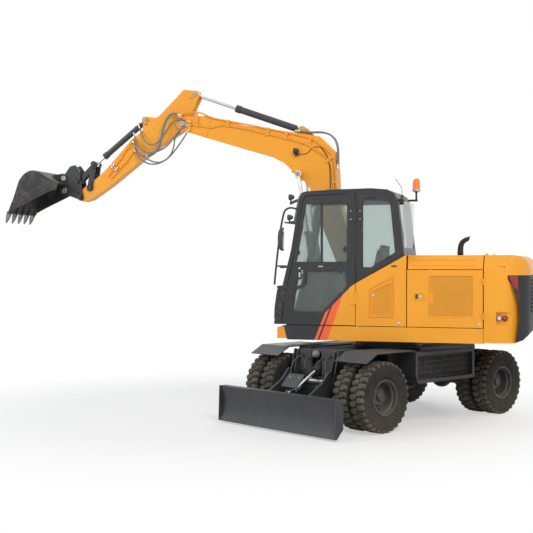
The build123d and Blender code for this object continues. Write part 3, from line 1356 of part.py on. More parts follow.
finish(arm, "arm")

BUCKET_CYL_LENGTH = 850.0
bucket_cylinder_barrel = cylinder_barrel(
    BUCKET_CYL_BASE, ROCKER_TOP, BOOM_Y, 42, BUCKET_CYL_LENGTH, CYL_EYE_HALF_W
)
finish(bucket_cylinder_barrel, "bucket_cylinder_barrel")
bucket_cylinder_rod = cylinder_rod(BUCKET_CYL_BASE, ROCKER_TOP, BOOM_Y, 42, BUCKET_CYL_LENGTH - 560, 42, CYL_EYE_HALF_W)
finish(bucket_cylinder_rod, "bucket_cylinder_rod")


def link_outline(start, end, start_r, end_r):
    """Two rounded ends joined by straight sides, in the sketch that is open."""
    with Locations(start):
        Circle(start_r)
    with Locations(end):
        Circle(end_r)
    way = (Vector(*end) - Vector(*start)).normalized()
    across = Vector(-way.Y, way.X) * 0.82
    corners = [
        Vector(*start) + across * start_r,
        Vector(*end) + across * end_r,
        Vector(*end) - across * end_r,
        Vector(*start) - across * start_r,
    ]
    Polygon(*[(corner.X, corner.Y) for corner in corners], align=None)


# Rocker: two bars outside the arm's end, on the pin through it
ROCKER_Y = ARM_END_HALF_W + PIN_GAP + EAR_T / 2
BUCKET_EAR_Y = ROCKER_Y + EAR_T + PIN_GAP
BUCKET_EAR_PINS = [(4910, 3143), (4923, 3323)]
with BuildPart() as rocker:
    for bar_side in (-1, 1):
        with BuildSketch(side_plane(BOOM_Y + bar_side * ROCKER_Y + EAR_T / 2)):
            link_outline(ROCKER_PIN, ROCKER_TOP, 52, 46)
        extrude(amount=EAR_T)
        pad_w = ROCKER_Y - EAR_T / 2 - PUSH_OUTER - PIN_GAP
        with BuildSketch(side_plane(BOOM_Y + bar_side * (PUSH_OUTER + PIN_GAP + pad_w / 2) + pad_w / 2)):
            with Locations(ROCKER_TOP):
                Circle(44)
        extrude(amount=pad_w)
    with BuildSketch(side_plane(BOOM_Y + ROCKER_Y)):
        with Locations(ROCKER_PIN):
            Circle(PIN_R)
    extrude(amount=2 * ROCKER_Y)
finish(rocker, "rocker")

# Push link: a fork at the rocker and one solid boss between the coupler's ears
with BuildPart() as push_link:
    for fork_side in (-1, 1):
        fork_w = PUSH_OUTER - CYL_EYE_HALF_W - PIN_GAP
        with BuildSketch(side_plane(BOOM_Y + fork_side * (PUSH_OUTER - fork_w / 2) + fork_w / 2)):
            link_outline(ROCKER_TOP, COUPLER_PIN, 38, 42)
        extrude(amount=fork_w)
    with BuildSketch(side_plane(BOOM_Y + ARM_END_HALF_W)):
        with Locations(COUPLER_PIN):
            Circle(42)
    extrude(amount=2 * ARM_END_HALF_W)
    with BuildSketch(side_plane(BOOM_Y + ARM_END_HALF_W)):
        with Locations(COUPLER_PIN):
            Circle(PIN_R + PIN_GAP)
    extrude(amount=2 * ARM_END_HALF_W, mode=Mode.SUBTRACT)
finish(push_link, "push_link")

# Quick coupler: two ears on the arm's pins and the hooks that hold the bucket
with BuildPart() as coupler:
    for ear_side in (-1, 1):
        with BuildSketch(side_plane(BOOM_Y + ear_side * ROCKER_Y + EAR_T / 2)):
            Polygon(
                (4600, 3010),
                (4630, 2983),
                (4840, 3060),
                (4940, 3110),
                (4950, 3340),
                (4828, 3500),
                (4740, 3520),
                (4666, 3420),
                (4656, 3280),
                (4614, 3080),
                align=None,
            )
        extrude(amount=EAR_T)
    with BuildSketch(side_plane(BOOM_Y + ROCKER_Y)):
        Polygon((4800, 3130), (4880, 3170), (4900, 3330), (4800, 3420), align=None)
    extrude(amount=2 * ROCKER_Y)
    for pin_spot in (BUCKET_PIN, COUPLER_PIN):
        with BuildSketch(side_plane(BOOM_Y + ROCKER_Y)):
            with Locations(pin_spot):
                Circle(PIN_R)
        extrude(amount=2 * ROCKER_Y)
    for pin_spot in BUCKET_EAR_PINS:
        with BuildSketch(side_plane(BOOM_Y + BUCKET_EAR_Y + EAR_T / 2)):
            with Locations(pin_spot):
                Circle(PIN_R - 6)
        extrude(amount=2 * BUCKET_EAR_Y + EAR_T)
finish(coupler, "coupler")

# Bucket: a curved shell between side plates, a lip with teeth, and ears for the coupler's pins
BUCKET_SIDE = [
    (4870, 3240),
    (4960, 3275),
    (5213, 3418),
    (5295, 3433),
    (5519, 3307),
    (5610, 3050),
    (5674, 2881),
    (5710, 2810),
    (5600, 2860),
    (5488, 2912),
    (5036, 3107),
    (4900, 3140),
]
with BuildPart() as bucket:
    with BuildSketch(side_plane(BOOM_Y + BUCKET_HALF_W)):
        Polygon(*BUCKET_SIDE, align=None)
    extrude(amount=2 * BUCKET_HALF_W)
    with BuildSketch(side_plane(BOOM_Y + BUCKET_HALF_W - BUCKET_PLATE)):
        Polygon(
            (4850, 3080),
            (4850, 3300),
            (4955, 3300),
            (4955, 3256),
            (4990, 3262),
            (5222, 3394),
            (5286, 3404),
            (5492, 3288),
            (5578, 3040),
            (5640, 2870),
            (5640, 2700),
            align=None,
        )
    extrude(amount=2 * (BUCKET_HALF_W - BUCKET_PLATE), mode=Mode.SUBTRACT)
    for tooth in range(TOOTH_COUNT):
        tooth_y = BOOM_Y + (tooth - (TOOTH_COUNT - 1) / 2) * (2 * BUCKET_HALF_W - 90) / (TOOTH_COUNT - 1)
        with BuildSketch(side_plane(tooth_y + 30)):
            Polygon((5620, 2960), (5690, 2930), (5750, 2760), (5770, 2651), (5700, 2700), (5640, 2830), align=None)
        extrude(amount=60)
    for ear_side in (-1, 1):
        with BuildSketch(side_plane(BOOM_Y + ear_side * BUCKET_EAR_Y + EAR_T / 2)):
            Polygon(
                (4870, 3100),
                (4880, 3385),
                (4960, 3400),
                (5120, 3375),
                (5000, 3262),
                (4968, 3100),
                align=None,
            )
            for pin_spot in BUCKET_EAR_PINS:
                with Locations(pin_spot):
                    Circle(PIN_R - 6 + PIN_GAP, mode=Mode.SUBTRACT)
        extrude(amount=EAR_T)
finish(bucket, "bucket")

# Work lamp on the boom's left side
with BuildPart() as work_lamp:
    with Locations((1350, BOOM_Y + BOOM_HALF_W + PIN_GAP + 25, 3640)):
        Box(40, 50, 30)
    with Locations((1390, BOOM_Y + BOOM_HALF_W + PIN_GAP + 60, 3690)):
        Box(60, 70, 90)
finish(work_lamp, "work_lamp")

# Cover over the counterweight's pocket
with BuildPart() as rear_hood:
    with Locations((UPPER_REAR_X - 150 - MOVE_GAP / 2, 0, HOOD_Z - 75)):
        Box(300 - MOVE_GAP - 2 * PIN_GAP, 2 * SIDE_Y - 360 - 2 * PIN_GAP, 70)
finish(rear_hood, "rear_hood")
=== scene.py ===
import math

import bmesh
import bpy
from mathutils import Matrix, Vector


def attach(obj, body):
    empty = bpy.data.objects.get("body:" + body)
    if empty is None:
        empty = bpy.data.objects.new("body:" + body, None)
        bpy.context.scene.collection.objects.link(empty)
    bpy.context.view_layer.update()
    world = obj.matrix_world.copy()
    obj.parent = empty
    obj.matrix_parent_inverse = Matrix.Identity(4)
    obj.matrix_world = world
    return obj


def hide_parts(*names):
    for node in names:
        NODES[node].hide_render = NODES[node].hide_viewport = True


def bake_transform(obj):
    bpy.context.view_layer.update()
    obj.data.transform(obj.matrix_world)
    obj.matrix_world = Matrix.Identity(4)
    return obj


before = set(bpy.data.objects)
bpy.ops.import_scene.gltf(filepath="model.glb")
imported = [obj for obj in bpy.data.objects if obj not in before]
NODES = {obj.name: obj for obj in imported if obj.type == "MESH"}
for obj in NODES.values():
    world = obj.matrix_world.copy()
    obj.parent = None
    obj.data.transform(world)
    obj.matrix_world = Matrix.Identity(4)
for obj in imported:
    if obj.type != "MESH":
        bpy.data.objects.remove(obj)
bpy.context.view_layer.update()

# Places: the swing axis stands at CENTRE, and the undercarriage is turned by TURN
CENTRE = Vector((1.91, 0.2176, 0.0))
TURN = math.radians(60)
TO_UPPER = Matrix.Translation(-CENTRE)
TO_LOWER = TO_UPPER @ Matrix.Rotation(TURN, 4, "Z")


def upper(x, y, z):
    """A point given in millimetres from the swing axis, along and across the upper structure."""
    return TO_UPPER @ Vector((x / 1000, y / 1000, z / 1000))


def lower(x, y, z):
    """A point given in millimetres in the undercarriage's own directions."""
    return TO_LOWER @ Vector((x / 1000, y / 1000, z / 1000))


def heading(place, x, y, z):
    """A direction along the axes of the upper structure or the undercarriage."""
    return place(x, y, z) - place(0, 0, 0)


# Camera, at the photograph's place
camera_data = bpy.data.cameras.new("camera")
camera = bpy.data.objects.new("camera", camera_data)
bpy.context.scene.collection.objects.link(camera)
camera.location = (-4.54, 13.4824, 2.04)
camera.rotation_euler = (math.radians(89.85), 0.0, math.radians(197.6))
camera_data.lens = 69.16
camera_data.sensor_width = 36.0
bpy.context.scene.camera = camera
bpy.context.scene.view_settings.view_transform = "Standard"


def tone(code, alpha=1.0):
    """A colour as the renderer wants it, from its six-digit code."""
    parts = [int(code[i:i + 2], 16) / 255 for i in (0, 2, 4)]
    return tuple(p / 12.92 if p <= 0.04045 else ((p + 0.055) / 1.055) ** 2.4 for p in parts) + (alpha,)


# Materials
class Wiring:
    """Shader nodes of one material or world, added and wired in short lines."""

    def __init__(self, owner):
        owner.use_nodes = True
        self.tree = owner.node_tree
        self.tree.nodes.clear()

    def add(self, kind, **settings):
        node = self.tree.nodes.new(kind)
        for key, value in settings.items():
            setattr(node, key, value)
        return node

    def join(self, source, target):
        self.tree.links.new(source, target)

    def feed(self, target, value):
        if isinstance(value, bpy.types.NodeSocket):
            self.join(value, target)
        else:
            target.default_value = value

    def math(self, operation, a, b=0.0, c=0.0):
        node = self.add("ShaderNodeMath", operation=operation)
        for socket, value in zip(node.inputs, (a, b, c)):
            self.feed(socket, value)
        return node.outputs[0]


class Graph(Wiring):
    """One material's nodes, with the place and the direction that its patterns start from."""

    def __init__(self, name):
        self.material = bpy.data.materials.new(name)
        super().__init__(self.material)
        self.place = self.add("ShaderNodeTexCoord").outputs["Object"]
        self.shape = self.add("ShaderNodeNewGeometry")
        self.axes = self.add("ShaderNodeSeparateXYZ")
        self.join(self.place, self.axes.inputs[0])

    def mix(self, share, a, b):
        node = self.add("ShaderNodeMix", data_type="RGBA")
        self.feed(node.inputs[0], share)
        self.feed(node.inputs[6], a)
        self.feed(node.inputs[7], b)
        return node.outputs[2]

    def ramp(self, value, low, high, start=0.0, end=1.0):
        node = self.add("ShaderNodeMapRange")
        for socket, number in zip(node.inputs, (value, low, high, start, end)):
            self.feed(socket, number)
        return node.outputs[0]

    def noise(self, scale, detail=4.0, rough=0.55, stretch=None):
        node = self.add("ShaderNodeTexNoise")
        node.inputs["Scale"].default_value = scale
        node.inputs["Detail"].default_value = detail
        node.inputs["Roughness"].default_value = rough
        place = self.place
        if stretch:
            mapping = self.add("ShaderNodeMapping")
            mapping.inputs["Scale"].default_value = stretch
            self.join(place, mapping.inputs[0])
            place = mapping.outputs[0]
        self.join(place, node.inputs["Vector"])
        return node.outputs["Fac"]

    def edges(self, radius):
        """Near 1 on the edges of a form and 0 on its faces."""
        bevel = self.add("ShaderNodeBevel", samples=4)
        bevel.inputs["Radius"].default_value = radius
        dot = self.add("ShaderNodeVectorMath", operation="DOT_PRODUCT")
        self.join(bevel.outputs[0], dot.inputs[0])
        self.join(self.shape.outputs["Normal"], dot.inputs[1])
        return self.ramp(dot.outputs["Value"], 0.995, 0.8)

    def facing_up(self):
        """1 on faces that look up and 0 on upright ones."""
        split = self.add("ShaderNodeSeparateXYZ")
        self.join(self.shape.outputs["Normal"], split.inputs[0])
        return self.ramp(split.outputs[2], 0.35, 0.95)

    def finish(self, colour, rough, metal, bump, bump_height, coat=0.0, coat_rough=0.1, specular=0.5):
        """The shader and the material's output; bump is the pattern that raises the surface."""
        shader = self.add("ShaderNodeBsdfPrincipled")
        self.feed(shader.inputs["Base Color"], colour)
        self.feed(shader.inputs["Roughness"], rough)
        self.feed(shader.inputs["Metallic"], metal)
        shader.inputs["Coat Weight"].default_value = coat
        shader.inputs["Coat Roughness"].default_value = coat_rough
        shader.inputs["Specular IOR Level"].default_value = specular
        node = self.add("ShaderNodeBump")
        node.inputs["Distance"].default_value = bump_height
        node.inputs["Strength"].default_value = 1.0
        self.feed(node.inputs["Height"], bump)
        self.join(node.outputs[0], shader.inputs["Normal"])
        out = self.add("ShaderNodeOutputMaterial")
        self.join(shader.outputs[0], out.inputs[0])
        self.shader = shader
        return self.material


def painted(name, code, wear, wear_code, dust, rough=0.38, coat=0.25, low_dust=0.0, dust_and_sheen_code="A79B86",
            colour_of=None):
    """Paint on steel: mottled a little, worn on its edges, dusty near the ground, and toned on top: real dust
    in brown, a painted sky highlight where the top tone is bluish.
    """
    g = Graph(name)
    base = colour_of(g) if colour_of else tone(code)
    broad = g.noise(1.7, 3.0)
    fine = g.noise(38.0, 5.0)
    shade = g.add("ShaderNodeHueSaturation")
    g.feed(shade.inputs["Color"], base)
    mottle = g.math("ADD", broad, g.math("MULTIPLY", fine, 0.5))
    g.feed(shade.inputs["Value"], g.ramp(mottle, 0.45, 1.05, 0.93, 1.05))
    colour = shade.outputs[0]
    # Upward faces take the top tone: real dust in the default brown, and a painted highlight of the sky in
    # the bluish tones of the frame and blade
    top_dust_and_sheen = g.math("MULTIPLY", g.facing_up(), g.ramp(fine, 0.4, 0.7, 0.3, 1.0))
    colour = g.mix(g.math("MULTIPLY", top_dust_and_sheen, dust), colour, tone(dust_and_sheen_code))
    if low_dust:
        near = g.ramp(g.axes.outputs[2], 1.0, 0.15)
        near = g.math("MULTIPLY", near, g.ramp(g.noise(6.0, 6.0, 0.65), 0.35, 0.7))
        colour = g.mix(g.math("MULTIPLY", near, low_dust), colour, tone("8A7C68"))
    worn = g.math("MULTIPLY", g.edges(0.006), g.ramp(g.noise(22.0, 6.0, 0.7), 0.45, 0.62))
    worn = g.math("MULTIPLY", worn, wear)
    colour = g.mix(worn, colour, tone(wear_code))
    roughness = g.ramp(fine, 0.3, 0.7, rough - 0.05, rough + 0.09)
    roughness = g.math("ADD", roughness, g.math("MULTIPLY", top_dust_and_sheen, 0.25))
    grain, waves = g.noise(260.0, 2.0), g.noise(9.0, 2.0)
    peel = g.math("ADD", g.math("MULTIPLY", grain, 0.35), g.math("MULTIPLY", waves, 0.8))
    return g.finish(colour, roughness, 0.0, peel, 0.0006, coat, 0.12)


def metal(name, code, rough, dirt, metallic=1.0, streak=None):
    """Bare or plated metal with fine lines along its length and dirt in patches."""
    g = Graph(name)
    fine = g.noise(90.0, 4.0, 0.6, streak)
    patch = g.ramp(g.noise(7.0, 6.0, 0.65), 0.5, 0.72)
    colour = g.mix(g.math("MULTIPLY", fine, 0.35), tone(code), tone("FFFFFF"))
    colour = g.mix(g.math("MULTIPLY", patch, dirt), colour, tone("4A443C"))
    roughness = g.math("ADD", g.ramp(fine, 0.3, 0.7, rough - 0.04, rough + 0.08),
                       g.math("MULTIPLY", patch, 0.2))
    return g.finish(colour, roughness, metallic, fine, 0.0003)


def moulded(name, code, rough, grain, depth, dust, specular=0.45):
    """Rubber or plastic with a pebbled skin and dust on its upward faces."""
    g = Graph(name)
    cells = g.add("ShaderNodeTexVoronoi")
    cells.inputs["Scale"].default_value = grain
    g.join(g.place, cells.inputs["Vector"])
    fine = g.noise(30.0, 5.0)
    colour = g.mix(g.ramp(fine, 0.3, 0.75), tone(code), g.mix(0.22, tone(code), tone("8C8880")))
    colour = g.mix(g.math("MULTIPLY", g.facing_up(), dust), colour, tone("9A9182"))
    roughness = g.ramp(fine, 0.3, 0.7, rough - 0.08, rough + 0.12)
    return g.finish(colour, roughness, 0.0, cells.outputs["Distance"], depth, 0.0, 0.1, specular)


def half_plane(g, x0, z0, x1, z1):
    """1 ahead of a line given along and up, in metres from the swing axis."""
    x0, x1 = x0 - CENTRE.x, x1 - CENTRE.x
    run = (x1 - x0) / (z1 - z0)
    line = g.math("MULTIPLY_ADD", g.math("SUBTRACT", g.axes.outputs[2], z0), run, x0)
    return g.math("GREATER_THAN", g.axes.outputs[0], line)


def half_above(g, x0, z0, x1, z1):
    """1 above such a line."""
    x0, x1 = x0 - CENTRE.x, x1 - CENTRE.x
    rise = (z1 - z0) / (x1 - x0)
    line = g.math("MULTIPLY_ADD", g.math("SUBTRACT", g.axes.outputs[0], x0), rise, z0)
    return g.math("GREATER_THAN", g.axes.outputs[2], line)


YELLOW = "F4A21E"
CAB_GREY = "212328"
STRIPE = "F9662F"
STRIPE_GAP = "22242A"
UNDERCOAT = "7A5A2A"
WORN_GREY = "70737A"


def side_colours(g, lower_dark):
    """Yellow behind the stripes, orange-red and dark stripes, and the dark cab ahead of them."""
    colour = tone(YELLOW)
    for line, code in (
        ((0.368, 1.667, 0.576, 1.063), STRIPE),
        ((0.485, 1.579, 0.683, 1.064), STRIPE_GAP),
        ((0.510, 1.566, 0.708, 1.063), STRIPE),
        ((0.551, 1.554, 0.749, 1.063), CAB_GREY),
    ):
        colour = g.mix(half_plane(g, *line), colour, tone(code))
    if lower_dark:
        nose = half_plane(g, 1.155, 1.231, 1.108, 1.065)
        colour = g.mix(nose, colour, tone(YELLOW))
        left = g.math("GREATER_THAN", g.axes.outputs[1], 0.5)
        colour = g.mix(left, tone(YELLOW), colour)
    else:
        above = g.math("GREATER_THAN", half_above(g, -0.426, 2.144, 0.203, 1.798), 0.5)
        above = g.math("MAXIMUM", above, half_above(g, 0.203, 1.798, 0.489, 1.605))
        above = g.math("MAXIMUM", above, half_above(g, 0.489, 1.605, 0.551, 1.560))
        colour = g.mix(above, colour, tone(CAB_GREY))
    return colour


YELLOW_PAINT = painted("yellow_paint", YELLOW, 0.35, UNDERCOAT, 0.07, coat=0.18)
GRILLE_PAINT = painted("grille_paint", "E59D22", 0.3, UNDERCOAT, 0.14, rough=0.42, coat=0.15)
ARM_PAINT = painted("arm_paint", YELLOW, 0.7, "6B5A3C", 0.08, rough=0.4, coat=0.15)
CAB_PAINT = painted("cab_paint", CAB_GREY, 0.35, WORN_GREY, 0.2, rough=0.4, coat=0.2)
DOOR_PAINT = painted("door_paint", CAB_GREY, 0.3, WORN_GREY, 0.2, colour_of=lambda g: side_colours(g, False))
SKIRT_PAINT = painted("skirt_paint", YELLOW, 0.4, UNDERCOAT, 0.2, colour_of=lambda g: side_colours(g, True))
# The frame's and the blade's bluish top tones are a painted highlight of the sky on their upward faces
FRAME_PAINT = painted("frame_paint", "2B2C2F", 0.6, "77757A", 0.4, rough=0.46, coat=0.08, low_dust=0.14,
                      dust_and_sheen_code="848C98")
BLADE_PAINT = painted("blade_paint", "2A2C31", 0.9, "8A8C92", 0.35, rough=0.44, coat=0.12, low_dust=0.08,
                      dust_and_sheen_code="7E8794")
RIM_PAINT = painted("rim_paint", "303237", 0.5, "77736C", 0.4, rough=0.5, coat=0.05, low_dust=0.5)
BARREL_PAINT = painted("barrel_paint", "34363A", 0.6, "807C74", 0.15, rough=0.4, coat=0.15)
DARK_PAINT = painted("dark_paint", "1E1F22", 0.4, "6A675F", 0.3, rough=0.55, coat=0.0)
CHROME = metal("rod_chrome", "D9DADD", 0.12, 0.08, streak=(1.0, 1.0, 14.0))
STEEL = metal("bare_steel", "A9A9A8", 0.34, 0.3)
IRON = metal("engine_iron", "55565A", 0.6, 0.5, metallic=0.6)
RUBBER = moulded("hose_rubber", "2A2A2B", 0.5, 300.0, 0.0003, 0.2)
GREY_HOSE = moulded("hose_grey", "74787C", 0.42, 500.0, 0.0002, 0.1)
PLASTIC = moulded("trim_plastic", "232427", 0.5, 380.0, 0.0004, 0.15)


def tyre_rubber(name, dark, light):
    """Tread rubber: dusty on the lugs, darker in the grooves and on the wall."""
    g = Graph(name)
    fine = g.noise(55.0, 6.0, 0.6)
    broad = g.noise(8.0, 5.0, 0.6)
    colour = g.mix(g.ramp(g.math("ADD", broad, fine), 0.75, 1.25), tone(dark), tone(light))
    near = g.ramp(g.axes.outputs[2], 0.6, 0.0)
    colour = g.mix(g.math("MULTIPLY", near, 0.22), colour, tone("7E7466"))
    worn = g.math("MULTIPLY", g.edges(0.008), 0.5)
    colour = g.mix(worn, colour, tone("8C8376"))
    roughness = g.ramp(fine, 0.3, 0.7, 0.78, 0.95)
    return g.finish(colour, roughness, 0.0, g.math("ADD", fine, g.noise(300.0, 3.0)), 0.0012, 0.0, 0.1, 0.3)


def bucket_steel():
    """Dark painted steel, scratched bright along its edges and rusty where the earth has rubbed it."""
    g = Graph("bucket_steel")
    fine = g.noise(60.0, 6.0, 0.65)
    broad = g.noise(5.5, 6.0, 0.6)
    rust = g.mix(fine, tone("5A4A40"), tone("75675B"))
    colour = g.mix(g.ramp(fine, 0.3, 0.8), tone("242427"), tone("3A3A3B"))
    patch = g.ramp(g.math("ADD", broad, g.math("MULTIPLY", fine, 0.3)), 0.62, 0.78)
    colour = g.mix(g.math("MULTIPLY", patch, 0.45), colour, rust)
    worn = g.math("MULTIPLY", g.edges(0.01), g.ramp(fine, 0.3, 0.6))
    colour = g.mix(worn, colour, tone("8D8880"))
    roughness = g.ramp(fine, 0.25, 0.75, 0.45, 0.75)
    return g.finish(colour, roughness, g.ramp(worn, 0.0, 1.0, 0.25, 0.8), fine, 0.0012)


def seat_cloth():
    """Woven seat cover: two crossed threads, a soft sheen and paler wear on the crown."""
    g = Graph("seat_cloth")
    across = g.add("ShaderNodeTexWave", bands_direction="Y")
    up = g.add("ShaderNodeTexWave", bands_direction="Z")
    for weave in (across, up):
        weave.inputs["Scale"].default_value = 190.0
        weave.inputs["Distortion"].default_value = 0.6
        g.join(g.place, weave.inputs["Vector"])
    threads = g.math("MAXIMUM", across.outputs["Fac"], up.outputs["Fac"])
    fine = g.noise(24.0, 5.0)
    colour = g.mix(g.math("MULTIPLY", threads, 0.5), tone("1C1D20"), tone("34363A"))
    colour = g.mix(g.ramp(fine, 0.5, 0.8, 0.0, 0.25), colour, tone("4C4A47"))
    material = g.finish(colour, g.ramp(fine, 0.3, 0.7, 0.8, 0.95), 0.0, threads, 0.0006, 0.0, 0.1, 0.3)
    g.shader.inputs["Sheen Weight"].default_value = 0.25
    return material


def glass(name, code):
    """Safety glass with a faint tint and a film of dust in patches."""
    g = Graph(name)
    film = g.math("MULTIPLY", g.noise(3.0, 6.0, 0.6), g.noise(45.0, 4.0))
    roughness = g.ramp(film, 0.1, 0.45, 0.015, 0.065)
    material = g.finish(tone(code), roughness, 0.0, g.noise(2.2, 2.0), 0.0006)
    g.shader.inputs["Transmission Weight"].default_value = 0.9
    g.shader.inputs["IOR"].default_value = 1.2
    return material


def lens(name, code, deep, glow):
    """Ribbed lamp plastic."""
    g = Graph(name)
    wave = g.add("ShaderNodeTexWave", bands_direction="X")
    wave.inputs["Scale"].default_value = 60.0
    g.join(g.place, wave.inputs["Vector"])
    colour = g.mix(g.math("MULTIPLY", wave.outputs["Fac"], 0.3), tone(code), tone(deep))
    material = g.finish(colour, g.ramp(g.noise(40.0), 0.3, 0.7, 0.08, 0.2), 0.0, wave.outputs["Fac"], 0.001,
                        0.4)
    g.shader.inputs["Emission Color"].default_value = tone(code)
    g.shader.inputs["Emission Strength"].default_value = glow
    return material


SEAL = moulded("window_seal", "15161A", 0.6, 260.0, 0.0003, 0.12)
MIRROR_GLASS = metal("mirror_glass", "C8D0D6", 0.05, 0.04)
TYRE = tyre_rubber("tyre_rubber", "1D1C1B", "3A3631")
TYRE_LUG = tyre_rubber("tyre_lugs", "3B3833", "6E665A")
BUCKET = bucket_steel()
GLASS = glass("cab_glass", "D8E2DF")
LINING = moulded("dark_lining", "0A0A0C", 0.75, 300.0, 0.0002, 0.0, specular=0.2)
# The roof edges' grey, lighter than the cab's own, is a painted reflection of the sky on their rounded tops
ROOF_HIGHLIGHT_PAINT = painted("roof_highlight_paint", "4A5058", 0.3, "8A8E94", 0.12, rough=0.34, coat=0.35)
SEAT_CLOTH = seat_cloth()
TOOTH_STEEL = metal("tooth_steel", "403E3C", 0.5, 0.5, metallic=0.4)
AMBER = lens("amber_lens", "F07A12", "B24A06", 0.25)
RED = lens("red_lens", "A8161A", "5A0A0E", 0.04)
CLEAR = lens("clear_lens", "D5DBDE", "9AA2A8", 0.03)
PIN_STEEL = metal("pin_steel", "8E8C86", 0.42, 0.35)
HOSE_END = metal("hose_end", "C9CCCE", 0.22, 0.12)

# Nodes that keep their solid's shape; those missing here are in frame paint, or a piece stands for them
MATERIAL_OF = {
    "boom": ARM_PAINT, "arm": ARM_PAINT, "skirts": SKIRT_PAINT, "service_door": YELLOW_PAINT,
    "engine_door": YELLOW_PAINT, "right_door": YELLOW_PAINT, "engine_hood": YELLOW_PAINT,
    "side_tank": YELLOW_PAINT, "cab_shell": CAB_PAINT, "cab_door": DOOR_PAINT, "cab_glass": GLASS,
    "door_glass": GLASS, "cab_controls": PLASTIC,
    "upper_frame": DARK_PAINT, "hood_frame": DARK_PAINT, "engine": IRON, "steering_cylinder": STEEL,
    "blade": BLADE_PAINT,
}
for name, node in NODES.items():
    material = MATERIAL_OF.get(name, FRAME_PAINT)
    for ending, other in (("_barrel", BARREL_PAINT), ("_rod", CHROME)):
        if name.rstrip("s").endswith(ending):
            material = other
    if name.startswith("rims"):
        material = RIM_PAINT
    node.data.materials.clear()
    node.data.materials.append(material)


def round_edges(piece, width, segments, angle, clean=False):
    """Round the edges that are sharper than an angle; clean first joins the faces that lie in one plane."""
    if clean:
        weld = piece.modifiers.new("weld", "WELD")
        weld.merge_threshold = 0.00005
        flat = piece.modifiers.new("flat", "DECIMATE")
        flat.decimate_type = "DISSOLVE"
        flat.angle_limit = math.radians(1.0)
    bevel = piece.modifiers.new("bevel", "BEVEL")
    bevel.width = width
    bevel.segments = segments
    bevel.limit_method = "ANGLE"
    bevel.angle_limit = math.radians(angle)


# Edges of the welded and pressed steel, rounded as the real ones are
BEVELS = {
    # width in metres: nodes
    0.012: ("engine_hood", "side_tank"),
    0.006: ("engine_door", "service_door", "right_door", "skirts", "cab_shell"),
    0.005: ("cab_door",),
    0.004: ("boom", "arm", "blade", "chassis", "side_boxes"),
    0.003: ("coupler", "rocker", "front_fenders", "upper_frame", "rear_axle", "front_axle", "drive_line"),
}
for width, names in BEVELS.items():
    for name in names:
        round_edges(NODES[name], width, 2, 35, clean=True)
        smooth = NODES[name].modifiers.new("normals", "WEIGHTED_NORMAL")
        smooth.keep_sharp = True


# Pieces made here
def piece_of(name, mesh, body, material, smooth=True):
    """An object of a mesh and a material, which rides on a body if one is named."""
    piece = bpy.data.objects.new(name, mesh)
    bpy.context.scene.collection.objects.link(piece)
    mesh.materials.append(material)
    if smooth:
        for face in mesh.polygons:
            face.use_smooth = True
    if body:
        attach(piece, body)
    return piece


def mesh_from(bm, name):
    """The mesh that was built up, as Blender keeps it."""
    mesh = bpy.data.meshes.new(name)
    bm.normal_update()
    bm.to_mesh(mesh)
    bm.free()
    return mesh


def bridge(bm, rings):
    """Faces from each ring to the next; the rings have as many points each."""
    for a, b in zip(rings, rings[1:]):
        for i in range(len(a)):
            j = (i + 1) % len(a)
            bm.faces.new((a[i], a[j], b[j], b[i]))


def stacked(bm, rings):
    """A closed form through rings that have as many points each."""
    made = [[bm.verts.new(point) for point in ring] for ring in rings]
    bridge(bm, made)
    bm.faces.new(made[0])
    bm.faces.new(made[-1])


def circle(radius, segments, height=0.0):
    """Points of a circle about the local Z axis."""
    turns = [2 * math.pi * step / segments for step in range(segments)]
    return [Vector((radius * math.cos(turn), radius * math.sin(turn), height)) for turn in turns]


def lathe(bm, profile, matrix, segments=48):
    """A closed ring of (radius, distance along the axis) points turned about the local Z axis."""
    rings = []
    for step in range(segments):
        turn = 2 * math.pi * step / segments
        c, s = math.cos(turn), math.sin(turn)
        rings.append([bm.verts.new(matrix @ Vector((r * c, r * s, h))) for r, h in profile])
    for step in range(segments):
        a, b = rings[step], rings[(step + 1) % segments]
        for i in range(len(profile)):
            j = (i + 1) % len(profile)
            bm.faces.new((a[i], b[i], b[j], a[j]))


# Tyres: a carcass turned from its section, with block lugs in two staggered rows that wrap onto the shoulder
TYRE_R = 0.4325
LUGS = 30
LUG_SINK = 0.024
AXLE_Z = 432.5
TYRES_Y = (932.5, 656.5)
WHEELS = [
    # name, side, axle's distance ahead of the swing axis
    ("front_left", 1, 1220), ("front_right", -1, 1220), ("rear_left", 1, -1180), ("rear_right", -1, -1180),
]
CARCASS = [
    (0.2035, -0.0825), (0.2225, -0.0832), (0.236, -0.100), (0.262, -0.112), (0.318, -0.1172), (0.372, -0.113),
    (0.400, -0.104), (0.414, -0.088), (0.4165, -0.045), (0.4165, 0.045), (0.414, 0.088), (0.400, 0.104),
    (0.372, 0.113), (0.318, 0.1172), (0.262, 0.112), (0.236, 0.100), (0.2225, 0.0832), (0.2035, 0.0825),
]
LUG_SHAPE = [
    # distance round the tyre, distance across it, height below the tread's top
    (-0.030, 0.006, 0.0), (0.012, 0.006, 0.0), (0.034, 0.030, 0.0), (0.030, 0.086, 0.001),
    (0.022, 0.104, 0.010), (-0.018, 0.104, 0.010), (-0.012, 0.086, 0.001), (-0.034, 0.040, 0.0),
]


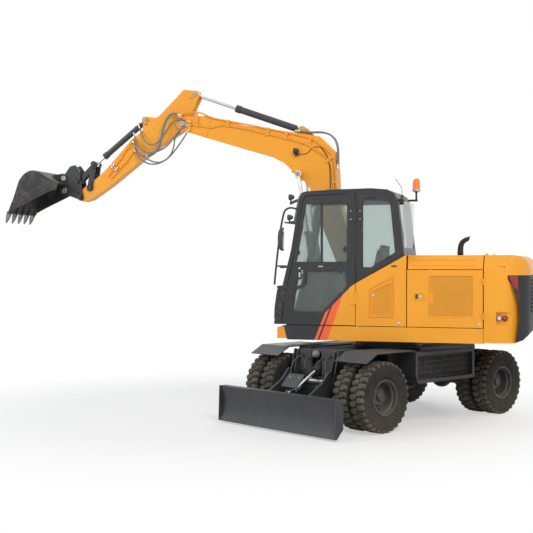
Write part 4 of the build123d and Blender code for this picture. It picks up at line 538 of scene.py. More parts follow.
def tyre_mesh(name):
    """One tyre about the Y axis, its middle at the origin."""
    bm = bmesh.new()
    lathe(bm, CARCASS, Matrix.Rotation(math.radians(-90), 4, "X"), 72)
    for side in (-1, 1):
        for lug in range(LUGS):
            middle = 2 * math.pi * (lug + (0.5 if side > 0 else 0.0)) / LUGS
            rows = []
            for sink, spread, wider in ((0.0, 1.0, 1.0), (LUG_SINK, 1.12, 1.02)):
                ring = []
                for along, across, drop in LUG_SHAPE:
                    radius = TYRE_R - 0.0008 - drop - sink * (1.0 if drop < 0.005 else 1.6)
                    turn = middle + side * along * spread / TYRE_R
                    y = side * across * (wider if across > 0.01 else 1.0)
                    ring.append(bm.verts.new((radius * math.cos(turn), y, radius * math.sin(turn))))
                rows.append(ring)
            carcass_faces = len(bm.faces)
            bm.faces.new(rows[0])
            bridge(bm, rows)
            bm.faces.ensure_lookup_table()
            for face in bm.faces[carcass_faces:]:
                face.material_index = 1
    bmesh.ops.recalc_face_normals(bm, faces=bm.faces)
    return mesh_from(bm, name)


TYRE_MESH = tyre_mesh("tyre")
for wheel, side, axle in WHEELS:
    bm = bmesh.new()
    for offset in TYRES_Y:
        middle = Matrix.Translation(lower(axle, side * offset, AXLE_Z))
        # Each tyre is turned about its axle by its own angle
        in_place = middle @ Matrix.Rotation(TURN, 4, "Z") @ Matrix.Rotation(0.03 * offset, 4, "Y")
        start = len(bm.verts)
        bm.from_mesh(TYRE_MESH)
        bm.verts.ensure_lookup_table()
        for vertex in bm.verts[start:]:
            vertex.co = in_place @ vertex.co
    name = f"tyre_tread_{wheel}"
    tyre = piece_of(name, mesh_from(bm, name), f"wheel_{wheel}", TYRE, False)
    tyre.data.materials.append(TYRE_LUG)
    round_edges(tyre, 0.003, 1, 38)
    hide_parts(f"tyres_{wheel}")


# Small pieces, gathered into one mesh for each kind on each body
GATHERED = {}


def gather(body, kind, material, bevel=0.0):
    """The mesh that collects the small pieces of one kind on one body."""
    key = f"{body}_{kind}"
    if key not in GATHERED:
        GATHERED[key] = (bmesh.new(), body, material, bevel)
    return GATHERED[key][0]


def slab(bm, outline, y0, y1, place=upper):
    """A flat piece with its outline along and up, between two distances across, in millimetres."""
    rings = [[bm.verts.new(place(x, y, z)) for x, z in outline] for y in (y0, y1)]
    bm.faces.new(rings[0])
    bm.faces.new(rings[1][::-1])
    bridge(bm, rings)


def block(bm, x0, x1, y0, y1, z0, z1, place=upper):
    """A box between two distances along, across and up, in millimetres."""
    slab(bm, [(x0, z0), (x1, z0), (x1, z1), (x0, z1)], y0, y1, place)


def border(bm, outline, inset, y0, y1, place=upper):
    """A flat ring that follows an outline, as a seal or a frame does; inset is its width in millimetres."""
    count = len(outline)
    area = sum(a[0] * b[1] - b[0] * a[1] for a, b in zip(outline, outline[1:] + outline[:1]))
    sign = 1 if area > 0 else -1
    inner = []
    for i in range(count):
        before, here, after = (Vector(outline[(i + k) % count]) for k in (-1, 0, 1))
        a = (here - before).normalized()
        b = (after - here).normalized()
        side_a = Vector((-a.y, a.x)) * sign
        side_b = Vector((-b.y, b.x)) * sign
        middle = (side_a + side_b).normalized()
        inner.append(here + middle * inset / max(0.35, middle.dot(side_a)))
    rings = []
    for points, y in ((outline, y0), (outline, y1), (inner, y1), (inner, y0)):
        rings.append([bm.verts.new(place(p[0], y, p[1])) for p in points])
    bridge(bm, rings + rings[:1])


def turned(bm, spot, axis, profile, segments=20):
    """A piece turned about an axis from a spot: pairs of radius and distance, in metres."""
    matrix = Matrix.Translation(spot) @ Vector(axis).to_track_quat("Z", "Y").to_matrix().to_4x4()
    rings = [[bm.verts.new(matrix @ point) for point in circle(r, segments, h)] for r, h in profile]
    bridge(bm, rings)
    bm.faces.new(rings[0][::-1])
    bm.faces.new(rings[-1])


def bolt(bm, spot, axis, size):
    """A hexagon head on its washer, with the end of its shank; size is the head's radius in metres."""
    turned(bm, spot, axis, [(1.4 * size, 0.0), (1.4 * size, 0.16 * size), (1.25 * size, 0.24 * size)], 16)
    turned(bm, spot, axis, [(size, 0.1 * size), (size, 0.72 * size), (0.8 * size, 0.9 * size)], 6)
    turned(bm, spot, axis, [(0.42 * size, 0.5 * size), (0.42 * size, 1.15 * size),
                            (0.3 * size, 1.25 * size)], 10)


def pin_end(body, x, y, z, side, radius, plate_turn):
    """The end of a hinge pin, with its collar, grease nipple, and the bar and bolt that lock it."""
    dark = body in ("rocker", "push_link", "bucket")
    heads = gather(body, "pin_ends", BARREL_PAINT if dark else PIN_STEEL)
    axis = (0, side, 0)
    turned(heads, upper(x, y, z), axis, [
        (radius, -0.002), (radius, 0.010), (radius - 0.004, 0.014), (radius * 0.55, 0.014),
        (radius * 0.5, 0.010), (radius * 0.16, 0.010), (radius * 0.12, 0.022), (radius * 0.06, 0.024),
    ], 28)
    plates = gather(body, "pin_plates", FRAME_PAINT if dark else ARM_PAINT, 0.002)
    reach = radius * 1000
    corners = [(-0.55, -0.5), (0.7, -0.5), (2.3, -0.35), (2.3, 0.35), (0.7, 0.5), (-0.55, 0.5)]
    c, s = math.cos(math.radians(plate_turn)), math.sin(math.radians(plate_turn))
    outline = [(x + reach * (a * c - b * s + 0.5 * c), z + reach * (a * s + b * c + 0.5 * s))
               for a, b in corners]
    slab(plates, outline, y - side * 1, y + side * 8)
    bolt(heads, upper(x + reach * 2.15 * c, y + side * 8, z + reach * 2.15 * s), axis, 0.011)


def tube(name, points, diameter, body, material, other=None):
    """A tube on one smooth spline; one that crosses a joint is baked where it lies and rides on neither body.
    """
    curve = bpy.data.curves.new(name, "CURVE")
    curve.dimensions = "3D"
    spline = curve.splines.new("NURBS")
    spline.points.add(len(points) - 1)
    for point, place in zip(spline.points, points):
        point.co = (*place, 1.0)
    spline.order_u = 3
    spline.use_endpoint_u = True
    spline.resolution_u = 6
    holder = bpy.data.objects.new(name + "_route", curve)
    line = bpy.data.meshes.new_from_object(holder)
    curve.bevel_depth = diameter / 2
    curve.bevel_resolution = 3
    curve.use_fill_caps = True
    mesh = bpy.data.meshes.new_from_object(holder)
    bpy.data.objects.remove(holder)
    piece = piece_of(name, mesh, None if other else body, material)
    if other:
        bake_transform(piece)
    return piece


def lane(y, *points):
    """Points of a route given along and up, at one distance across."""
    return [upper(x, y, z) for x, z in points]


def fitting(body, spot, toward, radius):
    """The crimped steel end of a hose with its hexagon nut, pointing along the hose."""
    bm = gather(body, "hose_fittings", HOSE_END)
    axis = Vector(toward) - Vector(spot)
    turned(bm, spot, axis, [
        (radius * 0.8, -0.030), (radius * 0.8, -0.004), (radius * 1.18, -0.002), (radius * 1.22, 0.004),
        (radius * 1.12, 0.010), (radius * 1.2, 0.016), (radius * 1.12, 0.022), (radius * 1.16, 0.034),
        (radius * 0.98, 0.038),
    ], 18)
    turned(bm, spot, axis, [(radius * 1.45, -0.028), (radius * 1.5, -0.024), (radius * 1.5, -0.010),
                            (radius * 1.4, -0.006)], 6)


# Hoses from the boom's tip to the arm: their routes in the upper structure's axes, in millimetres
ARM_HOSES = [
    # name, diameter, points along, up and across, from the boom to the arm
    ("a", 34, [(3030, 4184, -18), (3098, 4212, -14), (3172, 4206, -6), (3240, 4130, 4), (3285, 3990, 12),
               (3312, 3850, 14), (3345, 3740, 8), (3402, 3668, -6), (3486, 3622, -28), (3580, 3618, -56)]),
    ("b", 22, [(2892, 4088, -14), (2970, 4110, -8), (3060, 4126, 2), (3148, 4079, 14), (3225, 3972, 22),
               (3293, 3865, 26), (3385, 3778, 24), (3489, 3760, 14), (3590, 3832, -8), (3655, 3960, -44),
               (3712, 4066, -90)]),
    ("c", 22, [(2900, 4034, -14), (2975, 4020, -6), (3055, 3940, 6), (3140, 3822, 20), (3233, 3722, 34),
               (3340, 3672, 42), (3460, 3640, 40), (3575, 3665, 26), (3680, 3738, -6), (3744, 3840, -50),
               (3796, 3950, -108)]),
    ("d", 22, [(2905, 3950, -12), (2988, 3820, 0), (3098, 3670, 16), (3199, 3560, 30), (3320, 3500, 40),
               (3440, 3520, 42), (3558, 3582, 30), (3662, 3650, 6), (3735, 3752, -24), (3795, 3842, -52)]),
    ("e", 22, [(3004, 3974, -52), (3070, 3928, -36), (3112, 3850, -12), (3114, 3750, 6), (3138, 3650, 20),
               (3200, 3560, 34), (3310, 3496, 46), (3430, 3478, 48), (3560, 3510, 34), (3688, 3606, -6),
               (3762, 3706, -54)]),
]
for name, diameter, route in ARM_HOSES:
    points = [upper(x, y, z) for x, z, y in route]
    tube(f"arm_hose_{name}", points, diameter / 1000, "boom", GREY_HOSE, "arm")
    fitting("boom", points[0], points[1], diameter / 2000)
    fitting("arm", points[-1], points[-2], diameter / 2000)

# Pipes that carry on from the clamped pair, their brackets at the boom's tip, and the hoses over its knee
tube("tip_pipe_upper", lane(-14, (2881, 4219), (2940, 4222), (2990, 4208), (3034, 4184)), 0.022, "boom",
     ARM_PAINT)
tube("tip_pipe_lower", lane(-14, (2830, 4037), (2850, 4036), (2878, 4034)), 0.022, "boom", ARM_PAINT)
for number, y in enumerate((-90, -58)):
    route = lane(y, (1300 - 20 * number, 3894), (1200, 3886), (1080, 3866), (940, 3868), (820, 3836),
                 (738, 3760), (700, 3640), (704, 3500), (713, 3380))
    tube(f"knee_hose_{number + 1}", route, 0.026, "boom", GREY_HOSE)
    fitting("boom", route[0], route[1], 0.013)
    fitting("boom", route[-1], route[-2], 0.013)
tube("lamp_wire", lane(-22, (1262, 3576), (1205, 3560), (1132, 3571), (1075, 3632), (1010, 3668),
                       (941, 3657)), 0.009, "boom", RUBBER)
tube("lamp_conduit", lane(-22, (941, 3657), (880, 3590), (820, 3470), (800, 3300), (800, 3080)), 0.012,
     "boom", RUBBER)

details = gather("boom", "brackets", ARM_PAINT, 0.0015)
for x, z in ((2892, 4088), (2900, 3990), (3040, 4170)):
    slab(details, [(x - 42, z - 26), (x + 6, z - 34), (x + 10, z + 26), (x - 36, z + 32)], -31, -2)
bolts = gather("boom", "bolts", PIN_STEEL)
LEFT = (0, 1, 0)
UP = (0, 0, 1)
AHEAD = (1, 0, 0)
for x, z in ((2768, 4074), (2768, 4160), (2295, 4036), (1700, 3896), (1430, 3835), (1092, 3737), (806, 3480),
             (734, 3160)):
    bolt(bolts, upper(x, -4, z), LEFT, 0.007)

# Ends of the hinge pins
for side, y in ((1, 59), (-1, -359)):
    pin_end("boom_cylinder_rods", 1244, y, 3285, side, 0.034, 25)
for side, y in ((1, -29), (-1, -271)):
    pin_end("boom", 3009, y, 4066, side, 0.046, 160)
    pin_end("boom", 350, y, 1450, side, 0.044, 80)
for side, y in ((1, -109), (-1, -191)):
    pin_end("boom", 1235, y, 3907, side, 0.032, 170)
for side, y in ((1, -74), (-1, -226)):
    pin_end("arm", 2823, y, 4486, side, 0.034, -40)
    pin_end("arm", 3620, y + side * 2, 4150, side, 0.032, -120)
    pin_end("rocker", 4497, y + side * 22, 3173, side, 0.032, 100)
    pin_end("rocker", 4440, y + side * 22, 3525, side, 0.032, -80)
    pin_end("bucket", 4658, y + side * 44, 3041, side, 0.032, 40)
    pin_end("push_link", 4701, y + side * 44, 3275, side, 0.026, 40)

# Arm: pipes and clamps down its side, and a blank plate with its four rivets
for name, route in (
    ("a", ((3800, 3846), (3846, 3790), (3960, 3640), (4090, 3470), (4200, 3330))),
    ("b", ((3766, 3712), (3800, 3668), (3905, 3540), (4020, 3420), (4150, 3300))),
):
    tube(f"arm_pipe_{name}", lane(-60, *route), 0.018, "arm", ARM_PAINT)
clamps = gather("arm", "clamps", ARM_PAINT, 0.0015)
arm_bolts = gather("arm", "bolts", PIN_STEEL)
for x, z in ((3870, 3752), (3990, 3598), (3905, 3545), (4110, 3440)):
    block(clamps, x - 18, x + 18, -75, -48, z - 22, z + 22)
    bolt(arm_bolts, upper(x, -48, z), LEFT, 0.007)
slab(clamps, [(3394, 3883), (3460, 3849), (3553, 3999), (3500, 4033)], -75, -72.6)
for x, z in ((3408, 3885), (3458, 3862), (3539, 3996), (3497, 4019)):
    turned(arm_bolts, upper(x, -72.6, z), LEFT, [(0.004, 0.0), (0.0036, 0.0018)], 10)


def cab_front(z):
    """Distance forward of the cab's front at a height."""
    points = [(1286, 1290), (1220, 1570), (1159, 1820), (1058, 2220), (946, 2891), (870, 2945)]
    for (x0, z0), (x1, z1) in zip(points, points[1:]):
        if z <= z1:
            return x0 + (x1 - x0) * (z - z0) / (z1 - z0)
    return points[-1][0]


DOOR_UPPER = [(307, 2050), (1004, 2050), (871, 2820), (307, 2830)]
DOOR_LOWER = [(313, 1746), (646, 1412), (1045, 1413), (1029, 1704), (905, 1752), (872, 1784), (871, 1962),
              (313, 1962)]
REAR_QUARTER = [(133, 2882), (-243, 2850), (-310, 2175), (11, 1981), (132, 1981)]
OUT = 1030

# Cab door and rear window: seals, the sliding pane's post and rail, catches, grips and lock
for outline in (DOOR_UPPER, DOOR_LOWER):
    border(gather("cab_door", "seals", SEAL, 0.002), outline, 14, OUT - 30, OUT + 2)
    outer = [(x + (x - 640) * 0.035, z + (z - (2400 if z > 2000 else 1700)) * 0.035) for x, z in outline]
    border(gather("cab_door", "panel_edges", CAB_PAINT, 0.003), outer, 9, OUT - 6, OUT + 3)
border(gather("upper", "seals", SEAL, 0.002), REAR_QUARTER, 16, OUT - 30, OUT + 1)
door = gather("cab_door", "fittings", SEAL, 0.002)
slab(door, [(640, 2058), (668, 2058), (668, 2818), (640, 2818)], OUT - 34, OUT - 12)
block(door, 314, 998, OUT - 34, OUT - 14, 2052, 2066)
for x, z in ((958, 2190), (352, 2230)):
    block(door, x - 10, x + 10, OUT - 24, OUT + 6, z - 34, z + 34)
    block(door, x - 26, x + 26, OUT - 8, OUT + 10, z - 8, z + 8)
slab(door, [(921, 1840), (971, 1840), (971, 1952), (921, 1952)], OUT - 20, OUT - 16)
grip = gather("cab_door", "grip", HOSE_END, 0.002)
block(grip, 631, 697, OUT, OUT + 8, 2001, 2014)
slab(grip, [(934, 1868), (958, 1868), (958, 1934), (934, 1934)], OUT - 16, OUT - 4)
turned(grip, upper(946, OUT, 1982), LEFT, [(0.013, 0.0), (0.013, 0.005), (0.010, 0.008), (0.004, 0.008)], 20)
tube("door_grab_bar", lane(OUT - 90, (360, 1900), (372, 1960), (400, 1990), (780, 1990), (812, 1965),
                           (822, 1900)), 0.022, "cab_door", PLASTIC)

# Door hinges: leaves, barrel and bolts
for kind, leaf_x, low, high, paint, bolt_heights in (
    ("upper", 120, 2569, 2744, CAB_PAINT, (2603, 2710)), ("lower", 182, 1520, 1693, YELLOW_PAINT, ()),
):
    block(gather("upper", f"hinge_{kind}", paint, 0.002), leaf_x, 204, OUT, OUT + 9, low, high)
    leaf = gather("cab_door", f"hinge_{kind}", paint, 0.002)
    block(leaf, 226, 292, OUT, OUT + 9, low + 8, high - 8)
    turned(leaf, upper(214, OUT + 8, low + 4), UP, [
        (0.015, 0.0), (0.016, 0.004), (0.016, 0.08), (0.014, 0.082), (0.016, 0.084), (0.016, 0.160),
        (0.013, (high - low - 8) / 1000)], 18)
    for z in bolt_heights:
        for x, body in ((150, "upper"), (268, "cab_door")):
            bolt(gather(body, "small_bolts", PIN_STEEL), upper(x, OUT + 9, z), LEFT, 0.007)

# Roof: a gutter on each side and a raised hatch
roof = gather("upper", "roof_trim", CAB_PAINT, 0.006)
for y0, y1 in ((1022, 1034), (106, 118)):
    gutter = [(929, 2942), (863, 2968), (411, 2986), (17, 2992), (-200, 2972), (-288, 2920), (-326, 2830),
              (-312, 2830), (-276, 2908), (-196, 2958), (17, 2978), (411, 2972), (860, 2952), (920, 2930)]
    slab(roof, gutter, y0, y1)
block(roof, 60, 640, 320, 820, 2975, 3004)
block(roof, 90, 200, 480, 560, 3004, 3018)

# Front of the cab: handrail, mirror, lamps, wiper and the grille at its lower corner
rail_y = OUT - 6
tube("cab_handrail", [upper(x, rail_y, z) for x, z in (
    (1283, 1770), (1276, 1850), (1252, 2080), (1226, 2300), (1207, 2446), (1181, 2591), (1166, 2660),
    (1142, 2736), (1080, 2764), (1020, 2758), (975, 2740))], 0.026, "upper", PLASTIC)
front = gather("upper", "front_fittings", PLASTIC, 0.003)
for z in (1300, 1385, 1470, 1555, 1640, 1725):
    x = cab_front(z)
    slab(front, [(x - 74, z), (x - 6, z), (x - 12, z + 52), (x - 80, z + 52)], OUT, OUT + 4)
for z in (2000, 2560):
    x = cab_front(z)
    slab(front, [(x - 10, z - 16), (x + 40, z - 10), (x + 150, z + 6), (x + 150, z + 20), (x + 30, z + 22),
                 (x - 10, z + 16)], rail_y - 12, rail_y + 8)


# Mirror head: a rounded shell that swells towards its back, with glass let into its rear face
MIRROR_PLACE = Matrix.Translation(upper(1168, 1050, 2356)) @ Matrix.Rotation(math.radians(8), 4, "Z")
MIRROR_HALF = (0.075, 0.15)


def mirror_ring(depth, share):
    """Points round the head at a depth, drawn in to a share of its full size."""
    ring = []
    for spot in circle(1.0, 28):
        across, up = (math.copysign(abs(v) ** 0.45, v) * half * share for v, half in zip(spot, MIRROR_HALF))
        ring.append(MIRROR_PLACE @ Vector((depth, across, up)))
    return ring


bm = bmesh.new()
stacked(bm, [mirror_ring(depth, share) for depth, share in (
    (-0.012, 0.90), (-0.012, 0.98), (0.0, 1.0), (0.022, 0.95), (0.045, 0.74), (0.056, 0.42))])
bmesh.ops.recalc_face_normals(bm, faces=bm.faces)
piece_of("mirror_main", mesh_from(bm, "mirror_main"), "upper", PLASTIC)
bm = bmesh.new()
bm.faces.new([bm.verts.new(point) for point in mirror_ring(-0.0135, 0.86)])
piece_of("mirror_main_glass", mesh_from(bm, "mirror_main_glass"), "upper", MIRROR_GLASS, False)
tube("mirror_arm", [upper(x, y, z) for x, y, z in (
    (1214, rail_y, 2400), (1205, 1040, 2420), (1190, 1056, 2440), (1180, 1056, 2470),
    (1176, 1052, 2500))], 0.018, "upper", PLASTIC)


def lamp_head(name, x, y, z, radius, body):
    """A round work lamp: a finned shell, a rim and a ribbed glass, on its bracket."""
    bm = gather(body, f"{name}_shell", PLASTIC)
    spot = upper(x, y, z)
    turned(bm, spot, AHEAD, [
        (radius * 0.35, -0.052), (radius * 0.62, -0.044), (radius * 0.85, -0.024), (radius * 0.98, -0.006),
        (radius * 1.04, 0.0), (radius * 1.04, 0.014), (radius * 0.96, 0.018), (radius * 0.93, 0.012)], 26)
    turned(gather(body, f"{name}_glass", CLEAR), spot, AHEAD, [
        (radius * 0.93, 0.008), (radius * 0.93, 0.012), (radius * 0.6, 0.017), (radius * 0.2, 0.019)], 26)
    stem = gather(body, f"{name}_bracket", PLASTIC, 0.002)
    block(stem, x - 14, x + 2, y - 12, y + 12, z - radius * 1000 - 34, z - radius * 1000 * 0.8)


lamp_head("cab_lamp_upper", 1074, 1000, 2900, 0.038, "upper")
lamp_head("cab_lamp_lower", 1090, 1006, 2640, 0.036, "upper")
lamp_head("cab_lamp_right", 1010, 190, 2900, 0.038, "upper")
lamps = gather("upper", "lamp_brackets", PLASTIC, 0.002)
slab(lamps, [(930, 2860), (1080, 2800), (1080, 2836), (940, 2892)], 990, 1010)
slab(lamps, [(985, 2570), (1090, 2560), (1092, 2586), (985, 2600)], 996, 1014)
slab(lamps, [(930, 2860), (1016, 2800), (1016, 2836), (940, 2892)], 180, 200)

wiper = gather("upper", "wiper", PLASTIC, 0.0015)
for (x0, z0), (x1, z1), y0, y1, thick in (
    ((1142, 1960), (1020, 2560), 560, 578, 12), ((1100, 2150), (990, 2820), 566, 576, 9),
):
    slab(wiper, [(x0, z0), (x0 + thick, z0 + 2), (x1 + thick, z1 + 2), (x1, z1)], y0, y1)
turned(wiper, upper(cab_front(1950) - 2, 569, 1950), (1, 0, 0.25),
       [(0.022, 0.0), (0.022, 0.02), (0.014, 0.03)], 16)

# Antenna behind the cab, with its base
tube("antenna", [upper(-352, 860, 2880), upper(-356, 862, 2960), upper(-330, 866, 3040),
                 upper(-270, 872, 3110)], 0.007, "upper", PLASTIC)
mast = gather("upper", "antenna_base", PLASTIC)
turned(mast, upper(-352, 860, 2830), UP, [
    (0.030, 0.0), (0.032, 0.02), (0.018, 0.04), (0.016, 0.075), (0.010, 0.082)], 18)
mast = gather("upper", "antenna_bracket", PLASTIC, 0.002)
slab(mast, [(-322, 2800), (-300, 2800), (-366, 2834), (-384, 2834)], 835, 885)


def take_away(piece, bm):
    """Cut the solids in a mesh out of a piece."""
    bmesh.ops.recalc_face_normals(bm, faces=bm.faces)
    tool = bpy.data.objects.new("tool", mesh_from(bm, "tool"))
    bpy.context.scene.collection.objects.link(tool)
    step = piece.modifiers.new("cut", "BOOLEAN")
    step.operation = "DIFFERENCE"
    step.solver = "EXACT"
    step.object = tool
    result = bpy.data.meshes.new_from_object(piece.evaluated_get(bpy.context.evaluated_depsgraph_get()))
    piece.modifiers.clear()
    piece.data = result
    bpy.data.objects.remove(tool)


# Counterweight's lines, in millimetres: where its yellow sides and red lamps end, and its rear and its plan
REAR_EDGE = [(-1665, 1900), (-1665, 1850), (-1730, 1765), (-1785, 1610), (-1805, 1390), (-1745, 1000)]
LAMP_EDGE = [(-1780, 1900), (-1780, 1790), (-1795, 1610)]
TAIL_PROFILE = [(1075, -1750), (1105, -1850), (1160, -1905), (1260, -1932), (1330, -1936), (1420, -1936),
                (1600, -1936), (1800, -1936), (1900, -1936), (1957, -1930), (1990, -1922), (2045, -1902),
                (2090, -1872), (2120, -1830), (2138, -1790), (2147, -1700)]


def arc_through(a, b, c, steps):
    """Points on the arc from a through b to c."""
    a, b, c = Vector((*a, 0)), Vector((*b, 0)), Vector((*c, 0))
    p, q = b - a, c - a
    cross = p.cross(q)
    centre = a + (q.cross(cross) * -p.dot(p) + p.cross(cross) * q.dot(q)) * (1 / (2 * cross.dot(cross))) * -1
    start = a - centre
    sweep = start.angle(c - centre)
    sign = math.copysign(1, cross.z)
    return [tuple((centre + Matrix.Rotation(sign * sweep * i / steps, 3, "Z") @ start).xy)
            for i in range(steps + 1)]


CORNER = arc_through((-1530, 1030), (-1822, 890), (-1916, 690), 14)
BACK = arc_through((-1916, 690), (-1936, 0), (-1916, -690), 10)
TAIL_PLAN = [(-1384, 1030)] + CORNER + BACK[1:-1] + [(x, -y) for x, y in reversed(CORNER)] + [(-1384, -1030)]


# Counterweight: a cast block with sloped shoulders, cut off for the rear panel and let in for the round lamps
bm = bmesh.new()
rings = []
for z, rear_x in TAIL_PROFILE:
    side_y = 1030 - max(0.0, z - 1990) * 120 / 157
    rings.append([upper(max(x, rear_x), max(-side_y, min(side_y, y)), z) for x, y in TAIL_PLAN])
stacked(bm, rings)
bmesh.ops.remove_doubles(bm, verts=bm.verts, dist=0.0002)
bmesh.ops.dissolve_degenerate(bm, edges=bm.edges, dist=0.0002)
bmesh.ops.triangulate(bm, faces=bm.faces)
bmesh.ops.recalc_face_normals(bm, faces=bm.faces)
weight = piece_of("counterweight_shell", mesh_from(bm, "counterweight_shell"), None, YELLOW_PAINT, False)
bm = bmesh.new()
slab(bm, REAR_EDGE + [(-2050, 1000), (-2050, 1900)], -1100, 1100)
take_away(weight, bm)
bm = bmesh.new()
for side in (-1, 1):
    slab(bm, [(-1530, 1452), (-1690, 1452), (-1738, 1309), (-1530, 1305)], side * 982, side * 1100)
take_away(weight, bm)
weight.data.materials.clear()
weight.data.materials.append(YELLOW_PAINT)
round_edges(weight, 0.012, 3, 20, clean=True)
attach(weight, "upper")
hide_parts("counterweight")


def edge_at(line, z):
    """Distance along of a line given from the top down, at a height."""
    for (x0, z0), (x1, z1) in zip(line, line[1:]):
        if z >= z1:
            return x1 + (x0 - x1) * (z - z1) / (z0 - z1) if z0 != z1 else x1
    return line[-1][0]


def side_at(x):
    """The counterweight's half width at a distance along its rounded corner."""
    for (x0, y0), (x1, y1) in zip(CORNER, CORNER[1:]):
        if x >= x1:
            return y1 + (y0 - y1) * (x - x1) / (x0 - x1)
    return CORNER[-1][1]


# Dark rear panel with slats, red lamps round its corners, hinges and round lamps at the sides
PANEL_DEPTH = 12
panel = gather("upper", "rear_panel", DARK_PAINT, 0.004)
rings = []
for z, rear_x in [(1079, -1752)] + TAIL_PROFILE[1:8] + [(1896, -1936)]:
    ring = []
    for x, y in TAIL_PLAN:
        share = 1 - PANEL_DEPTH / math.hypot(x + 1384, y)
        x, y = -1384 + (x + 1384) * share, y * share
        ring.append(upper(min(max(x, rear_x + PANEL_DEPTH), edge_at(REAR_EDGE, z) - 5), y, z))
    rings.append(ring)
stacked(panel, rings)
slats = gather("upper", "rear_slats", SEAL, 0.002)
for slat in range(9):
    block(slats, -1936, -1916, -560, 560, 1440 + slat * 48, 1462 + slat * 48)
strips = gather("upper", "tail_lamps", RED, 0.002)
for side in (-1, 1):
    rings = []
    for z in (1618, 1660, 1700, 1765, 1790, 1850, 1892):
        x0, x1 = edge_at(REAR_EDGE, z) - 3, edge_at(LAMP_EDGE, z) if z < 1790 else -1780
        spots = [x0 + (x1 - x0) * i / 6 for i in range(7)]
        ring = [upper(x, side * (side_at(x) - 3), z) for x in spots]
        ring += [upper(x, side * (side_at(x) - 40), z) for x in reversed(spots)]
        rings.append(ring)
    stacked(strips, rings)
hinges = gather("upper", "side_hinges", YELLOW_PAINT)
for side in (-1, 1):
    for z in (1360, 1780):
        turned(hinges, upper(-1377, side * 1043, z), UP, [
            (0.010, 0.0), (0.012, 0.003), (0.012, 0.037), (0.010, 0.040)], 14)
for side in (-1, 1):
    for x, kind, paint in ((-1564, "clear", CLEAR), (-1632, "red", RED)):
        spot = upper(x, side * 982, 1378)
        turned(gather("upper", f"round_{kind}", paint), spot, (0, side, 0), [
            (0.028, 0.004), (0.028, 0.020), (0.024, 0.027), (0.012, 0.031), (0.003, 0.032)], 24)
        turned(gather("upper", "lamp_bezels", SEAL), spot, (0, side, 0), [
            (0.034, 0.0), (0.034, 0.018), (0.031, 0.021), (0.0285, 0.019)], 24)


def shoulder(x, height, rise):
    """A point on the sloped shoulder of hood and counterweight; rise goes from 0 at its foot to 1."""
    side = math.copysign(1, height)
    out = abs(height) - 1
    return upper(x, side * (1030 - 120 * rise + out * 0.8), 1990 + 157 * rise + out * 0.6)


def rounded(x0, x1, z0, z1, radius_x, radius_z, steps=5):
    """A rectangle with rounded corners."""
    points = []
    for cx, cz, start in ((x1 - radius_x, z1 - radius_z, 0), (x0 + radius_x, z1 - radius_z, 90),
                          (x0 + radius_x, z0 + radius_z, 180), (x1 - radius_x, z0 + radius_z, 270)):
        for step in range(steps + 1):
            turn = math.radians(start + 90 * step / steps)
            points.append((cx + radius_x * math.cos(turn), cz + radius_z * math.sin(turn)))
    return points


# Ribs pressed in the hood's shoulders, and a lid in each of the counterweight's
for side in (-1, 1):
    ribs = gather("engine_hood", "ribs", YELLOW_PAINT, 0.002)
    for low in (0.14, 0.60):
        slab(ribs, rounded(-1283, -500, low, low + 0.24, 22, 0.12), side * 1.0, side * 8.0, shoulder)
    lids = gather("upper", "lids", YELLOW_PAINT, 0.002)
    slab(lids, rounded(-1660, -1530, 0.1, 0.62, 20, 0.1), side * 1.0, side * 7.0, shoulder)


def sheet_with_slots(bm, x0, x1, z0, z1, columns, rows, y_in, y_out, keep):
    """A pierced sheet of cells, each with one slot through it; keep says which cells the outline holds."""
    wide = (x1 - x0) / columns
    high = (z1 - z0) / rows
    for row in range(rows):
        for column in range(columns):
            a, b = x0 + column * wide, z0 + row * high
            if not keep(a + wide / 2, b + high / 2):
                continue
            outer = [(a, b), (a + wide, b), (a + wide, b + high), (a, b + high)]
            inner = [(a + wide * 0.14, b + high * 0.3), (a + wide * 0.86, b + high * 0.3),
                     (a + wide * 0.86, b + high * 0.7), (a + wide * 0.14, b + high * 0.7)]
            rings = [[bm.verts.new(upper(p[0], y, p[1])) for p in points]
                     for points, y in ((outer, y_out), (inner, y_out), (inner, y_in))]
            bridge(bm, rings)
            bm.faces.new(rings[-1])


# Side doors: grilles, pressed frames, latch, locks and slot
grille = gather("engine_door", "grille", GRILLE_PAINT)
sheet_with_slots(grille, -1254, -720, 1394, 1893, 22, 26, OUT - 7, OUT - 2,
                 lambda x, z: not (x > -772 and 1560 < z < 1708))
pressed = gather("engine_door", "pressed", YELLOW_PAINT, 0.003)
border(pressed, [(-716, 1385), (-1264, 1385), (-1264, 1903), (-716, 1903), (-716, 1716), (-764, 1689),
                 (-764, 1580), (-716, 1552)], 16, OUT - 7, OUT + 4)
grille = gather("service_door", "grille", GRILLE_PAINT)
sheet_with_slots(grille, -236, -10, 1420, 1800, 9, 20, OUT - 7, OUT - 2,
                 lambda x, z: z < 1690 + (-17 - x) * 0.5)
pressed = gather("service_door", "pressed", YELLOW_PAINT, 0.003)
border(pressed, [(30, 1372), (30, 1732), (-272, 1884), (-278, 1376)], 14, OUT - 7, OUT + 4)
border(pressed, [(-6, 1412), (-6, 1704), (-240, 1818), (-244, 1412)], 12, OUT - 7, OUT + 2)
for body, x, z in (("service_door", -17, 1640), ("service_door", -341, 1296), ("engine_door", -1330, 1296)):
    lock = gather(body, "locks", HOSE_END)
    turned(lock, upper(x, OUT - 1, z), LEFT, [
        (0.017, 0.0), (0.017, 0.004), (0.013, 0.007), (0.004, 0.007)], 22)
latch = gather("engine_door", "latch", YELLOW_PAINT, 0.002)
border(latch, rounded(-668, -524, 1584, 1682, 14, 14), 10, OUT - 1, OUT + 6)
latch = gather("engine_door", "latch_plate", GRILLE_PAINT, 0.001)
slab(latch, rounded(-656, -536, 1596, 1670, 8, 8), OUT - 1, OUT + 1)
